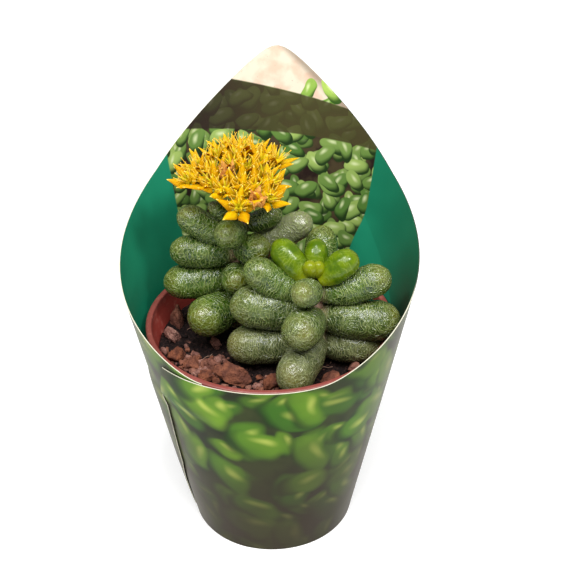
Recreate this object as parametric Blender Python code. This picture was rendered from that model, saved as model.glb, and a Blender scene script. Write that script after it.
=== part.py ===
"""A flowering sedum in a small plastic pot, which stands in a printed card sleeve.

Metres, +Z up.  The origin is on the pot's axis, on the surface that the pot stands on.
The front is -Y.  Azimuths of leaves run from +X towards +Y, and angles round the sleeve
run from its back (+Y) towards +X, both in degrees.
"""

import math
import random

import bmesh
import bpy
from mathutils import Matrix, Vector

MM = 0.001

# Gap that neighbouring pieces keep
CLEARANCE = 0.3 * MM

# Points closer than this are one point
WELD_DISTANCE = 0.004 * MM

# Pot
RIM_RADIUS = 32.5 * MM
RIM_WIDTH = 1.6 * MM
RIM_DEPTH = 4.0 * MM
POT_HEIGHT = 61.6 * MM
POT_BASE_RADIUS = 20.7 * MM
POT_SHOULDER_RADIUS = 31.3 * MM
POT_WALL = 0.9 * MM
POT_FLOOR = 1.2 * MM
POT_SEGMENTS = 40
DRAIN_HOLES = 6
DRAIN_HOLE_RADIUS = 2.0 * MM
DRAIN_CIRCLE_RADIUS = 12.0 * MM
DRAIN_HOLE_SIDES = 8

# Soil
SOIL_HEIGHT = 54.0 * MM
SOIL_RELIEF = 0.5 * MM
SOIL_SEGMENTS = 24
SOIL_RINGS = 5
SOIL_WAVES = (10.0 * MM, 11.5 * MM)
SOIL_RIPPLES = (5.6 * MM, 7.0 * MM)
SOIL_SEED = 5
STEM_HOLE_MOUTH = 3.0 * MM

# Card sleeve, a cone cut from one flat sheet
CARD = 0.45 * MM
SLEEVE_BASE_RADIUS = 22.0 * MM
SLEEVE_FLARE = 0.207
SLEEVE_FRONT_HEIGHT = 63.3 * MM
SLEEVE_BACK_ANGLE = 4.5
SLEEVE_COLUMN = 6.0
LAYER_OFFSET = 0.4 * MM

# Straight cut edges of the flat sheet, from its rounded tip down both sides
CUT_TIP_DISTANCE = 233.5 * MM
CUT_SLOPE = 0.97
CUT_TIP_ROUNDING = 0.0165
CUT_BULGE = 2.8 * MM
CUT_BULGE_FROM = 50.0
CUT_BULGE_TO = 165.0

# Seam of the sleeve: height, angle of the free edge that shows, and how far it lifts
SEAM = (
    (0.0 * MM, -103.5, 0.0 * MM),
    (24.0 * MM, -115.0, 0.8 * MM),
    (47.6 * MM, -124.4, 0.2 * MM),
    (49.8 * MM, -122.0, 0.0 * MM),
    (51.9 * MM, -122.0, 0.0 * MM),
    (SLEEVE_FRONT_HEIGHT, -131.0, 0.0 * MM),
)
SEAM_CROSSING_ROW = 4
UPPER_TONGUE_END = -151.5
LOWER_TONGUE_END = -95.0
TONGUE_COLUMNS = 4

# Degrees of the sleeve beside its seam: full offset of the outer and inner end, fade, slanted columns
SEAM_OUTER_HOLD = 6.0
SEAM_INNER_HOLD = 30.0
SEAM_FADE = 30.0
SEAM_SLANT = 60.0

# Stems: points on the axis in millimetres, radius, and the share of it lost at each point
ROSETTE_STEM = ((12.6, -8.0, 43.0), (12.6, -8.0, 54.0), (12.1, -7.4, 66.0), (11.6, -6.8, 76.6))
FLOWERING_STEM = ((-9.0, 9.5, 43.0), (-9.0, 9.0, 54.0), (-8.6, 8.6, 74.0), (-6.2, 8.2, 87.6))
STEM_RADIUS = 2.0 * MM
STEM_TAPER = 0.08
STEM_SIDES = 8

# Leaves: height on the stem in millimetres, azimuth, tilt, length, thickness, upward curl
ROSETTE_LEAVES = (
    (73.0, 181, 11, 20.2, 8.2, 40),
    (73.6, 0, 3, 19.8, 8.6, 26),
    (74.2, -107, 22, 14.5, 8.1, 14),
    (72.8, 80, 22, 19.5, 8.4, 34),
    (68.0, 182, 6, 22.3, 10.8, 8),
    (67.0, -9, -4, 21.6, 10.5, 8),
    (67.0, -109, 12, 18.5, 10.6, 10),
    (66.0, 78, 8, 17.5, 9.5, 14),
    (59.4, 186, 0, 23.6, 10.4, 4),
    (59.2, -5, 0, 16.5, 9.6, 6),
    (61.4, -113, -8, 21.5, 10.4, 6),
    (59.4, 82, 2, 17.0, 9.0, 8),
    (70.2, 128, 4, 13.0, 8.0, 12),
    (64.5, 36, 2, 16.5, 9.0, 10),
    (62.0, 132, 0, 13.5, 8.4, 6),
)
FLOWERING_LEAVES = (
    (80.0, 176, 19, 17.8, 7.4, 26),
    (83.0, -111, 20, 13.0, 7.6, 16),
    (85.5, 180, 30, 10.4, 3.8, 14),
    (85.0, 4, 10, 11.0, 5.6, 20),
    (84.0, 96, 10, 13.0, 6.6, 24),
    (76.6, -178, 2, 17.6, 8.2, 8),
    (78.0, -52, 18, 13.0, 8.0, 14),
    (77.0, 8, 14, 21.5, 7.4, 18),
    (75.0, 108, 4, 15.0, 8.0, 14),
    (69.4, -173, -3, 19.2, 9.4, 4),
    (70.6, -87, 12, 11.8, 8.2, 12),
    (69.6, 34, 4, 17.0, 8.4, 10),
    (66.0, 122, 0, 15.5, 8.6, 8),
    (61.2, -123, 8, 19.4, 10.6, 12),
    (60.0, 70, 0, 15.0, 8.6, 8),
)
LEAF_SIDES = 8
LEAF_STATIONS = (0.0, 0.14, 0.34, 0.60, 0.80, 0.93)

# A leaf's radius at its root, where it is fullest, and how many radii its rounded end takes
LEAF_BASE = 0.45
LEAF_FULLEST = 0.5
LEAF_CAP = 1.25

# Young leaves at the top of the rosette: the point that they grow from, then as above from azimuth on
CROWN_POINT = (11.4, -6.7, 79.3)
YOUNG_LEAVES = (
    (140, 16, 13.0, 7.1, 20),
    (86, 49, 9.2, 6.0, 20),
    (-7, 20, 12.2, 7.2, 26),
    (-104, 64, 5.2, 5.4, 0),
)

# Flower head: its stalk in millimetres, and the thin stalks that fork from it
STALK_FOOT = (-6.1, 8.2, 88.5)
STALK_FORK = (-6.8, 8.4, 92.6)
STALK_RADIUS = 1.1 * MM
PEDICEL_RADIUS = 0.55 * MM
PEDICEL_SINK = 0.3 * MM
PEDICEL_STEP = 0.07 * MM
PEDICEL_KNEE = 0.55
PEDICEL_SAG = 1.2 * MM
PEDICEL_SIDES = 5

# Dome that the flowers stand on, and their places, all in millimetres
HEAD_CENTRE = (-7.5, 8.0)
HEAD_HEIGHT = 100.0
HEAD_FALL = 0.012
HEAD_TILT = 0.22
HEAD_SPREAD = 20.0
HEAD_LEAN = 0.3
HEAD_SEED = 9
FLOWERS = (
    (-20.3, 7.4),
    (-18.9, 10.7),
    (-15.9, 5.8),
    (-16.6, 12.8),
    (-13.4, 3.9),
    (-13.7, 9.4),
    (-12.8, 16.6),
    (-10.6, 1.3),
    (-10.3, 20.2),
    (-8.7, 10.8),
    (-7.4, 15.7),
    (-6.1, 3.4),
    (-6.9, -4.0),
    (-6.6, -0.5),
    (-5.9, 19.8),
    (-4.6, 9.4),
    (-3.1, 17.0),
    (-2.5, 2.1),
    (-0.4, 7.8),
    (-0.5, 13.2),
    (1.2, -0.8),
    (1.9, 4.6),
    (3.3, 14.7),
)
WITHERED_FLOWERS = (
    (-9.9, 6.8),
    (-2.8, -2.5),
)

# One flower: petals, the core that they join, and stamens
PETALS = 5
PETAL_LENGTH = 6.5 * MM
PETAL_WIDTH = 2.3 * MM
PETAL_THICKNESS = 0.9 * MM
PETAL_STATIONS = ((0.0, 0.6), (0.38, 1.0))
PETAL_RISE = 0.9
WITHERED_RISE = 1.6
PETAL_LENGTHS = (0.85, 1.05)
PETAL_STRAY = 0.15
CORE_DEPTH = 1.2 * MM
CORE_HEIGHT = 1.8 * MM
CORE_WAIST = 0.2 * MM
CORE_FOOT_RADIUS = 0.7 * MM
CORE_RADIUS = 1.3 * MM
CORE_SIDES = 6
STAMENS = 5
STAMEN_LENGTH = 5.0 * MM
STAMEN_RADIUS = 0.4 * MM
STAMEN_LEAN = 0.5
STAMEN_REACH = 0.5 * MM
STAMEN_STRAY = 0.2

# Pieces of broken lava on the soil: place, length, breadth and height in millimetres, and turn
LAVA_PIECES = (
    (-24.9, 9.6, 5.6, 4.6, 8.6, 100),
    (-26.0, 2.4, 6.8, 3.4, 4.8, -35),
    (-14.4, -1.8, 2.8, 2.6, 4.6, 0),
    (-24.4, -6.8, 5.4, 4.8, 5.4, 60),
    (-20.0, -10.0, 5.4, 4.8, 4.8, 30),
    (-15.2, -11.6, 5.6, 5.0, 4.6, 80),
    (-16.6, -15.8, 4.6, 4.0, 3.8, 0),
    (-10.2, -16.6, 10.6, 5.4, 6.4, -28),
    (-0.4, -19.8, 5.6, 4.8, 5.0, 20),
    (15.8, -18.6, 6.0, 4.4, 4.4, 30),
    (21.4, -13.6, 4.6, 4.0, 4.0, 60),
    (-16.0, 20.0, 6.2, 5.6, 4.6, 0),
    (4.0, 23.6, 6.4, 5.6, 4.8, 50),
    (19.0, 17.0, 6.0, 5.6, 4.6, 110),
    (0.0, 12.0, 4.6, 4.2, 3.4, 0),
)
GRIT_PIECES = 12
GRIT_SIZES = (1.6 * MM, 2.4 * MM)
GRIT_ZONE = (0.45, 0.86)

# Share of a piece's height by which its middle stands above the peat, and how far its corners are cut back
LAVA_LIFT = 0.16
LUMP_CORNERS = (0.78, 1.08)


def clear_scene():
    for old in list(bpy.data.objects):
        bpy.data.objects.remove(old)


def material(name, colour, roughness):
    made = bpy.data.materials.new(name)
    made.use_nodes = True
    shader = made.node_tree.nodes["Principled BSDF"]
    shader.inputs["Base Color"].default_value = (*colour, 1.0)
    shader.inputs["Roughness"].default_value = roughness
    shader.inputs["Metallic"].default_value = 0.0
    made.diffuse_color = (*colour, 1.0)
    return made


def add_object(name, bm, finish=None, sharp_angle=40.0):
    """Turn a bmesh into a smooth-shaded object."""
    bmesh.ops.recalc_face_normals(bm, faces=bm.faces)
    mesh = bpy.data.meshes.new(name)
    bm.to_mesh(mesh)
    bm.free()
    mesh.shade_smooth()
    mesh.set_sharp_from_angle(angle=math.radians(sharp_angle))
    if finish is not None:
        mesh.materials.append(finish)
    added = bpy.data.objects.new(name, mesh)
    bpy.context.scene.collection.objects.link(added)
    return added


def apply_modifiers(target):
    """Replace an object's mesh with the mesh that its modifiers make."""
    depsgraph = bpy.context.evaluated_depsgraph_get()
    mesh = bpy.data.meshes.new_from_object(target.evaluated_get(depsgraph))
    target.modifiers.clear()
    target.data = mesh


def boolean(target, others, operation):
    """Join or cut an object with a collection of others, which are then removed."""
    group = bpy.data.collections.new(target.name + "_tools")
    bpy.context.scene.collection.children.link(group)
    for other in others:
        bpy.context.scene.collection.objects.unlink(other)
        group.objects.link(other)
        other.hide_render = True
        other.display_type = "WIRE"
    modifier = target.modifiers.new(operation.title(), "BOOLEAN")
    modifier.operation = operation
    modifier.operand_type = "COLLECTION"
    modifier.collection = group
    apply_modifiers(target)
    for other in list(group.objects):
        bpy.data.objects.remove(other)
    bpy.data.collections.remove(group)
    drop_scraps(target.data)


def drop_scraps(mesh):
    """Weld the crossings' needle-thin faces and keep only the largest connected body."""
    bm = bmesh.new()
    bm.from_mesh(mesh)
    bmesh.ops.remove_doubles(bm, verts=bm.verts, dist=WELD_DISTANCE)
    bmesh.ops.dissolve_degenerate(bm, edges=bm.edges, dist=WELD_DISTANCE)
    waiting = set(bm.faces)
    bodies = []
    while waiting:
        body = []
        front = [waiting.pop()]
        while front:
            face = front.pop()
            body.append(face)
            near = {other for edge in face.edges for other in edge.link_faces} & waiting
            waiting -= near
            front.extend(near)
        bodies.append(body)
    largest = set(max(bodies, key=len))
    scraps = [face for face in bm.faces if face not in largest]
    bmesh.ops.delete(bm, geom=scraps, context="FACES")
    bm.to_mesh(mesh)
    bm.free()


def join_pieces(name, pieces, finish, sharp_angle=40.0):
    """Fuse overlapping pieces in one solid."""
    body = pieces[0]
    boolean(body, pieces[1:], "UNION")
    body.name = name
    body.data.name = name
    body.data.materials.clear()
    body.data.materials.append(finish)
    body.data.shade_smooth()
    body.data.set_sharp_from_angle(angle=math.radians(sharp_angle))
    return body


def loft(rings, tip=None):
    """Skin through rings of points, with a flat start and a flat or pointed end."""
    bm = bmesh.new()
    loops = [[bm.verts.new(point) for point in ring] for ring in rings]
    sides = len(loops[0])
    for lower, upper in zip(loops, loops[1:]):
        for i in range(sides):
            j = (i + 1) % sides
            bm.faces.new((lower[i], lower[j], upper[j], upper[i]))
    bm.faces.new(reversed(loops[0]))
    if tip is None:
        bm.faces.new(loops[-1])
    else:
        end = bm.verts.new(tip)
        for i in range(sides):
            bm.faces.new((loops[-1][i], loops[-1][(i + 1) % sides], end))
    return bm


def heading(azimuth, tilt):
    """Unit vector from an azimuth and a tilt above the horizontal, in degrees."""
    turn = math.radians(azimuth)
    rise = math.radians(tilt)
    return Vector((math.cos(turn) * math.cos(rise), math.sin(turn) * math.cos(rise), math.sin(rise)))


def ring(centre, direction, radius, sides, across=None):
    """Points round a centre, square to a direction, counted from the side that across gives."""
    if across is None:
        guide = Vector((1, 0, 0)) if abs(direction.z) > 0.9 else Vector((0, 0, 1))
        across = direction.cross(guide)
    across = across.normalized()
    up = direction.cross(across).normalized()
    turns = [2 * math.pi * i / sides for i in range(sides)]
    return [centre + (across * math.cos(t) + up * math.sin(t)) * radius for t in turns]


def millimetres(point):
    return Vector(point) * MM


def tube(points, radii, sides):
    """Round bar along a path, with a radius at each of its points."""
    rings = []
    last = len(points) - 1
    for i, point in enumerate(points):
        direction = (points[min(i + 1, last)] - points[max(i - 1, 0)]).normalized()
        rings.append(ring(point, direction, radii[i], sides, across=Vector((0, 1, 0)).cross(direction)))
    return loft(rings)


def on_path(points, height):
    """Point of an upward path at a given height."""
    for low, high in zip(points, points[1:]):
        if height <= high[2]:
            break
    share = (height - low[2]) / (high[2] - low[2])
    return millimetres(low).lerp(millimetres(high), share)


def leaf_fullness(share, cap_start):
    """Radius of a plump leaf along its length, as a share of its greatest radius."""
    swell = min(share / LEAF_FULLEST, 1.0)
    body = LEAF_BASE + (1 - LEAF_BASE) * math.sin(swell * math.pi / 2)
    if share <= cap_start:
        return body
    into_cap = (share - cap_start) / (1 - cap_start)
    return body * math.sqrt(1 - into_cap ** 2)


def leaf(root, azimuth, tilt, length, thickness, curl):
    """Club-shaped succulent leaf, which turns up by its curl from root to tip."""
    radius = thickness * MM / 2
    length = length * MM
    cap_start = 1 - LEAF_CAP * radius / length
    across = heading(azimuth + 90, 0)
    rings = []
    point = root.copy()
    previous = 0.0
    for share in LEAF_STATIONS:
        middle = (share + previous) / 2
        point += heading(azimuth, tilt + curl * middle) * length * (share - previous)
        previous = share
        direction = heading(azimuth, tilt + curl * share)
        fullness = leaf_fullness(share, cap_start)
        rings.append(ring(point, direction, radius * fullness, LEAF_SIDES, across=across))
    tip = point + heading(azimuth, tilt + curl) * length * (1 - previous)
    return loft(rings, tip)


def pot_outer_radius(height):
    share = height / (POT_HEIGHT - RIM_DEPTH)
    return POT_BASE_RADIUS + (POT_SHOULDER_RADIUS - POT_BASE_RADIUS) * share


def pot_inner_radius(height):
    return pot_outer_radius(height) - POT_WALL


def turned(profile, segments):
    """Solid of revolution from a closed profile of radius and height."""
    bm = bmesh.new()
    loops = []
    for radius, height in profile:
        if radius == 0:
            loops.append([bm.verts.new((0, 0, height))] * segments)
            continue
        turns = [2 * math.pi * i / segments for i in range(segments)]
        loops.append([bm.verts.new((radius * math.cos(t), radius * math.sin(t), height)) for t in turns])
    for lower, upper in zip(loops, loops[1:]):
        for i in range(segments):
            j = (i + 1) % segments
            corners = (lower[i], lower[j], upper[j], upper[i])
            bm.faces.new(dict.fromkeys(corners))
    return bm


def make_pot():
    """Tapered pot with a turned-out rim and drain holes in its floor."""
    rim_foot = POT_HEIGHT - RIM_DEPTH
    round_over = 0.4 * MM
    lip_inner = RIM_RADIUS - RIM_WIDTH
    profile = (
        (0, 0),
        (POT_BASE_RADIUS, 0),
        (POT_SHOULDER_RADIUS, rim_foot),
        (RIM_RADIUS, rim_foot + round_over),
        (RIM_RADIUS, POT_HEIGHT - round_over),
        (RIM_RADIUS - round_over, POT_HEIGHT),
        (lip_inner + round_over, POT_HEIGHT),
        (lip_inner, POT_HEIGHT - round_over),
        (pot_inner_radius(rim_foot), rim_foot),
        (pot_inner_radius(POT_FLOOR), POT_FLOOR),
        (0, POT_FLOOR),
    )
    finish = material("red_plastic", (0.42, 0.09, 0.07), 0.45)
    pot = add_object("pot", turned(profile, POT_SEGMENTS), finish, 30.0)
    holes = []
    for i in range(DRAIN_HOLES):
        turn = 2 * math.pi * i / DRAIN_HOLES
        centre = Vector((math.cos(turn), math.sin(turn), 0)) * DRAIN_CIRCLE_RADIUS
        path = [centre - Vector((0, 0, POT_FLOOR)), centre + Vector((0, 0, 2 * POT_FLOOR))]
        cutter = tube(path, [DRAIN_HOLE_RADIUS] * 2, DRAIN_HOLE_SIDES)
        holes.append(add_object("drain_cutter", cutter))
    boolean(pot, holes, "DIFFERENCE")
    pot.data.set_sharp_from_angle(angle=math.radians(30.0))


def soil_level(x, y):
    """Height of the peat, low and uneven, from a sum of waves."""
    turn = 2 * math.pi
    wave = math.sin(turn * x / SOIL_WAVES[0] + 1) * math.cos(turn * y / SOIL_WAVES[1])
    ripple = math.sin(turn * x / SOIL_RIPPLES[0] - turn * y / SOIL_RIPPLES[1])
    return SOIL_HEIGHT + SOIL_RELIEF * (wave + 0.6 * ripple)


def soil_body():
    bm = bmesh.new()
    foot_height = POT_FLOOR + CLEARANCE
    foot_radius = pot_inner_radius(foot_height) - CLEARANCE
    edge_radius = pot_inner_radius(SOIL_HEIGHT) - 2 * CLEARANCE
    loops = []
    radii = [edge_radius * (i + 1) / SOIL_RINGS for i in range(SOIL_RINGS)]
    for radius in radii:
        loop = []
        for i in range(SOIL_SEGMENTS):
            turn = 2 * math.pi * i / SOIL_SEGMENTS
            x = radius * math.cos(turn)
            y = radius * math.sin(turn)
            loop.append(bm.verts.new((x, y, soil_level(x, y))))
        loops.append(loop)
    foot = []
    for i in range(SOIL_SEGMENTS):
        turn = 2 * math.pi * i / SOIL_SEGMENTS
        foot.append(bm.verts.new((foot_radius * math.cos(turn), foot_radius * math.sin(turn), foot_height)))
    loops.append(foot)
    top = bm.verts.new((0, 0, soil_level(0, 0)))
    for i in range(SOIL_SEGMENTS):
        j = (i + 1) % SOIL_SEGMENTS
        bm.faces.new((top, loops[0][i], loops[0][j]))
        for inner, outer in zip(loops, loops[1:]):
            bm.faces.new((inner[i], outer[i], outer[j], inner[j]))
    bm.faces.new(foot)
    bmesh.ops.triangulate(bm, faces=bm.faces)
    return bm


def broken_piece(centre, size, turn, detail, draw):
    """Angular lump, from a sphere with its corners pulled in and out, pressed inside the pot."""
    bm = bmesh.new()
    bmesh.ops.create_icosphere(bm, subdivisions=detail, radius=0.5)
    about = Matrix.Rotation(math.radians(turn), 3, "Z")
    for vert in bm.verts:
        vert.co = centre + about @ (vert.co * size * draw.uniform(*LUMP_CORNERS))
        reach = math.hypot(vert.co.x, vert.co.y)
        limit = pot_inner_radius(vert.co.z) - 2 * CLEARANCE
        if reach > limit:
            vert.co.x *= limit / reach
            vert.co.y *= limit / reach
    return bm


def make_soil():
    """Root ball of peat that fills the pot, with broken lava on it and holes for the stems."""
    draw = random.Random(SOIL_SEED)
    pieces = [add_object("peat", soil_body())]
    for x, y, length, breadth, height, turn in LAVA_PIECES:
        centre = Vector((x * MM, y * MM, soil_level(x * MM, y * MM) + LAVA_LIFT * height * MM))
        size = millimetres((length, breadth, height))
        pieces.append(add_object("lava", broken_piece(centre, size, turn, 2, draw)))
    for _ in range(GRIT_PIECES):
        turn = draw.uniform(0, 2 * math.pi)
        reach = pot_inner_radius(SOIL_HEIGHT) * draw.uniform(*GRIT_ZONE)
        x = reach * math.cos(turn)
        y = reach * math.sin(turn)
        centre = Vector((x, y, soil_level(x, y)))
        size = Vector((1, 1, 1)) * draw.uniform(*GRIT_SIZES)
        pieces.append(add_object("grit", broken_piece(centre, size, 0, 1, draw)))
    soil = join_pieces("soil", pieces, material("peat", (0.035, 0.018, 0.014), 0.95), 30.0)
    holes = []
    for path in (ROSETTE_STEM, FLOWERING_STEM):
        foot = millimetres(path[0]) - Vector((0, 0, CLEARANCE))
        mouth = millimetres(path[1]) + Vector((0, 0, STEM_HOLE_MOUTH))
        radius = STEM_RADIUS + CLEARANCE
        holes.append(add_object("stem_hole", tube([foot, mouth], [radius, radius], 12)))
    boolean(soil, holes, "DIFFERENCE")


def stem(path):
    points = [millimetres(point) for point in path]
    radii = [STEM_RADIUS * (1 - STEM_TAPER * i) for i in range(len(points))]
    return add_object("stem", tube(points, radii, STEM_SIDES))


def leafy_stem(name, path, leaves, finish):
    """Stem with its leaves, each rooted on the stem's axis."""
    pieces = [stem(path)]
    for height, *shape in leaves:
        pieces.append(add_object("leaf", leaf(on_path(path, height), *shape)))
    return join_pieces(name, pieces, finish)


def make_young_leaves():
    """Bright young leaves and the bud between them."""
    finish = material("young_leaf", (0.20, 0.33, 0.02), 0.3)
    root = millimetres(CROWN_POINT)
    pieces = []
    for shape in YOUNG_LEAVES:
        pieces.append(add_object("young", leaf(root, *shape)))
    join_pieces("young_leaves", pieces, finish)


def petal(centre, out, facing, length, rise):
    """Narrow pointed blade with a keel below, widest a third of the way out."""
    across = facing.cross(out).normalized()
    along = (out + facing * rise).normalized()
    below = across.cross(along)
    if below.dot(facing) > 0:
        below = -below
    rings = []
    for share, width in PETAL_STATIONS:
        middle = centre + along * length * share
        half_width = PETAL_WIDTH / 2 * width
        rings.append([
            middle + across * half_width,
            middle + below * PETAL_THICKNESS * width,
            middle - across * half_width,
        ])
    return loft(rings, centre + along * length)


def flower(centre, facing, rise, draw):
    """Star of five petals, with a core and stamens."""
    foot = ring(centre - facing * CORE_DEPTH, facing, CORE_FOOT_RADIUS, CORE_SIDES)
    waist = ring(centre + facing * CORE_WAIST, facing, CORE_RADIUS, CORE_SIDES)
    pieces = [add_object("core", loft([foot, waist], centre + facing * CORE_HEIGHT))]
    side = facing.cross(heading(draw.uniform(0, 360), 0)).normalized()
    other = facing.cross(side)
    for i in range(PETALS):
        turn = 2 * math.pi * i / PETALS + draw.uniform(-PETAL_STRAY, PETAL_STRAY)
        out = side * math.cos(turn) + other * math.sin(turn)
        length = PETAL_LENGTH * draw.uniform(*PETAL_LENGTHS)
        pieces.append(add_object("petal", petal(centre, out, facing, length, rise)))
    for i in range(STAMENS):
        turn = 2 * math.pi * (i + 0.5) / STAMENS + draw.uniform(-STAMEN_STRAY, STAMEN_STRAY)
        lean = side * math.cos(turn) + other * math.sin(turn)
        along = (facing + lean * STAMEN_LEAN).normalized()
        root = centre + lean * STAMEN_REACH
        base = ring(root, along, STAMEN_RADIUS, 3)
        pieces.append(add_object("stamen", loft([base], root + along * STAMEN_LENGTH)))
    return pieces


def make_flower_head():
    """Domed head of yellow flowers on thin stalks that fork from one."""
    draw = random.Random(HEAD_SEED)
    foot = millimetres(STALK_FOOT)
    fork = millimetres(STALK_FORK)
    pieces = [add_object("stalk", tube([foot, fork], [STALK_RADIUS, STALK_RADIUS], 6))]
    for i, place in enumerate(FLOWERS + WITHERED_FLOWERS):
        away = Vector((place[0] - HEAD_CENTRE[0], place[1] - HEAD_CENTRE[1], 0))
        height = HEAD_HEIGHT - HEAD_FALL * away.length_squared + HEAD_TILT * away.y
        centre = millimetres((*place, height))
        facing = (away / HEAD_SPREAD + Vector((0, -HEAD_LEAN, 1))).normalized()
        start = fork - Vector((0, 0, PEDICEL_SINK + i * PEDICEL_STEP))
        knee = start.lerp(centre, PEDICEL_KNEE) - Vector((0, 0, PEDICEL_SAG))
        pedicel = tube([start, knee, centre], [PEDICEL_RADIUS] * 3, PEDICEL_SIDES)
        pieces.append(add_object("pedicel", pedicel))
        rise = WITHERED_RISE if place in WITHERED_FLOWERS else PETAL_RISE
        pieces.extend(flower(centre, facing, rise, draw))
    finish = material("yellow_petal", (0.85, 0.48, 0.02), 0.5)
    join_pieces("flower_head", pieces, finish, 30.0)


def cut_height(angle):
    """Height of the sleeve's cut edge at an angle counted from the middle of its back."""
    away = abs(angle - SLEEVE_BACK_ANGLE)
    slant = math.hypot(1, SLEEVE_FLARE)
    flat_angle = math.radians(away) * SLEEVE_FLARE / slant
    sideways = math.hypot(math.sin(flat_angle), CUT_TIP_ROUNDING)
    distance = CUT_TIP_DISTANCE / (math.cos(flat_angle) + CUT_SLOPE * sideways)
    if CUT_BULGE_FROM < away < CUT_BULGE_TO:
        span = CUT_BULGE_TO - CUT_BULGE_FROM
        distance += CUT_BULGE * math.sin(math.pi * (away - CUT_BULGE_FROM) / span)
    apex_depth = SLEEVE_BASE_RADIUS / SLEEVE_FLARE
    if away > CUT_BULGE_TO:
        return SLEEVE_FRONT_HEIGHT
    return max(distance / slant - apex_depth, SLEEVE_FRONT_HEIGHT)


def sleeve_point(angle, height, offset):
    radius = SLEEVE_BASE_RADIUS + SLEEVE_FLARE * height + offset
    turn = math.radians(angle)
    return (radius * math.sin(turn), radius * math.cos(turn), height)


def card_column(bm, angles, offsets, rows):
    """One column of the card, as a vertex on each of its rows."""
    column = {}
    for row in rows:
        height = SEAM[row][0]
        if row == len(SEAM) - 1:
            height = cut_height(angles[row])
        column[row] = bm.verts.new(sleeve_point(angles[row], height, offsets[row]))
    return column


def join_columns(bm, left, right):
    rows = sorted(set(left) & set(right))
    for low, high in zip(rows, rows[1:]):
        bm.faces.new((left[low], right[low], right[high], left[high]))


def layer_side(row):
    """+1 where the sleeve's starting end lies outside the other layer, -1 where it lies inside."""
    return 1.0 if row < SEAM_CROSSING_ROW else -1.0


def tongue_columns(bm, edge_turn, tip_angle, side, rows):
    """End of the card that tapers past the seam's edge, from just beyond it to its tip."""
    columns = []
    for i in range(1, TONGUE_COLUMNS + 1):
        share = i / TONGUE_COLUMNS
        angles = {}
        for row in rows:
            edge = SEAM[row][1] + edge_turn
            angles[row] = edge + (tip_angle - edge) * share
        offsets = {row: side * LAYER_OFFSET * layer_side(row) for row in rows}
        columns.append(card_column(bm, angles, offsets, rows))
    return columns


def round_columns(bm):
    """The card once round, from the seam's edge to the seam's edge."""
    columns = []
    rows = range(len(SEAM))
    base_angle = SEAM[0][1]
    for i in range(round(360 / SLEEVE_COLUMN) + 1):
        from_start = i * SLEEVE_COLUMN
        from_end = 360 - from_start
        start_share = max(0.0, 1 - max(from_start - SEAM_OUTER_HOLD, 0) / SEAM_FADE)
        end_share = max(0.0, 1 - max(from_end - SEAM_INNER_HOLD, 0) / SEAM_FADE)
        slant_share = max(0.0, 1 - min(from_start, from_end) / SEAM_SLANT)
        angles = {}
        offsets = {}
        for row in rows:
            angles[row] = base_angle + from_start + (SEAM[row][1] - base_angle) * slant_share
            offsets[row] = LAYER_OFFSET * layer_side(row) * (start_share - end_share)
            offsets[row] += SEAM[row][2] * start_share ** 2
        columns.append(card_column(bm, angles, offsets, rows))
    return columns


def make_sleeve():
    """Card rolled to a cone, whose two ends hook through each other at the left of the front."""
    bm = bmesh.new()
    upper_rows = range(SEAM_CROSSING_ROW, len(SEAM))
    lower_rows = range(SEAM_CROSSING_ROW)
    upper = tongue_columns(bm, 0, UPPER_TONGUE_END, 1, upper_rows)
    lower = tongue_columns(bm, 360, 360 + LOWER_TONGUE_END, -1, lower_rows)
    columns = upper[::-1] + round_columns(bm) + lower
    for left, right in zip(columns, columns[1:]):
        join_columns(bm, left, right)
    sleeve = add_object("sleeve", bm, material("printed_card", (0.05, 0.22, 0.06), 0.35), 30.0)
    card = sleeve.modifiers.new("Card", "SOLIDIFY")
    card.thickness = CARD
    card.offset = -1.0
    card.use_even_offset = True
    apply_modifiers(sleeve)


def build():
    clear_scene()
    mature = material("mature_leaf", (0.09, 0.15, 0.06), 0.35)
    make_pot()
    make_soil()
    leafy_stem("rosette_stem", ROSETTE_STEM, ROSETTE_LEAVES, mature)
    leafy_stem("flowering_stem", FLOWERING_STEM, FLOWERING_LEAVES, mature)
    make_young_leaves()
    make_flower_head()
    make_sleeve()


build()
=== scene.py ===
"""Looks of a flowering sedum in its pot and printed card sleeve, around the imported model.

Metres, +Z up.  The origin is on the pot's axis, on the surface that the pot stands on, and
the front is -Y.  Azimuths run from +X towards +Y, and angles round the sleeve run from its
back (+Y) towards +X, both in degrees.
"""

import itertools
import math
import random

import bmesh
import bpy
import numpy as np
from mathutils import Matrix, Vector


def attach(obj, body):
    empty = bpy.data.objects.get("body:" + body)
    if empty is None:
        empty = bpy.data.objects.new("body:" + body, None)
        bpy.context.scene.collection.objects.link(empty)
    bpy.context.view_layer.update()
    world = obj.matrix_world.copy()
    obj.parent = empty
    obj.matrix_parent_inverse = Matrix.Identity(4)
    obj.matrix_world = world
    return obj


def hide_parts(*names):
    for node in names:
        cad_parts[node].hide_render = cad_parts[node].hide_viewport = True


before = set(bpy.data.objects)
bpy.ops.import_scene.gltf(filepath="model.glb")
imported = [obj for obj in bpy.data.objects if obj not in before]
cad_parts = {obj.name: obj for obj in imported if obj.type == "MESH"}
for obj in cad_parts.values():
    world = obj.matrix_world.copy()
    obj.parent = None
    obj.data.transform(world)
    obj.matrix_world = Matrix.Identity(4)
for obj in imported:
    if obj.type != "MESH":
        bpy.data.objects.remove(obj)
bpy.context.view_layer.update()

MM = 0.001

# Camera, fitted to the photograph's frame
CAMERA_PLACE = (0.0, -277.06 * MM, 248.80 * MM)
CAMERA_TARGET = (4.96 * MM, 0.0, 70.81 * MM)
CAMERA_ROLL = -0.71
CAMERA_LENS = 79.48
SENSOR_WIDTH = 36.0

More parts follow.
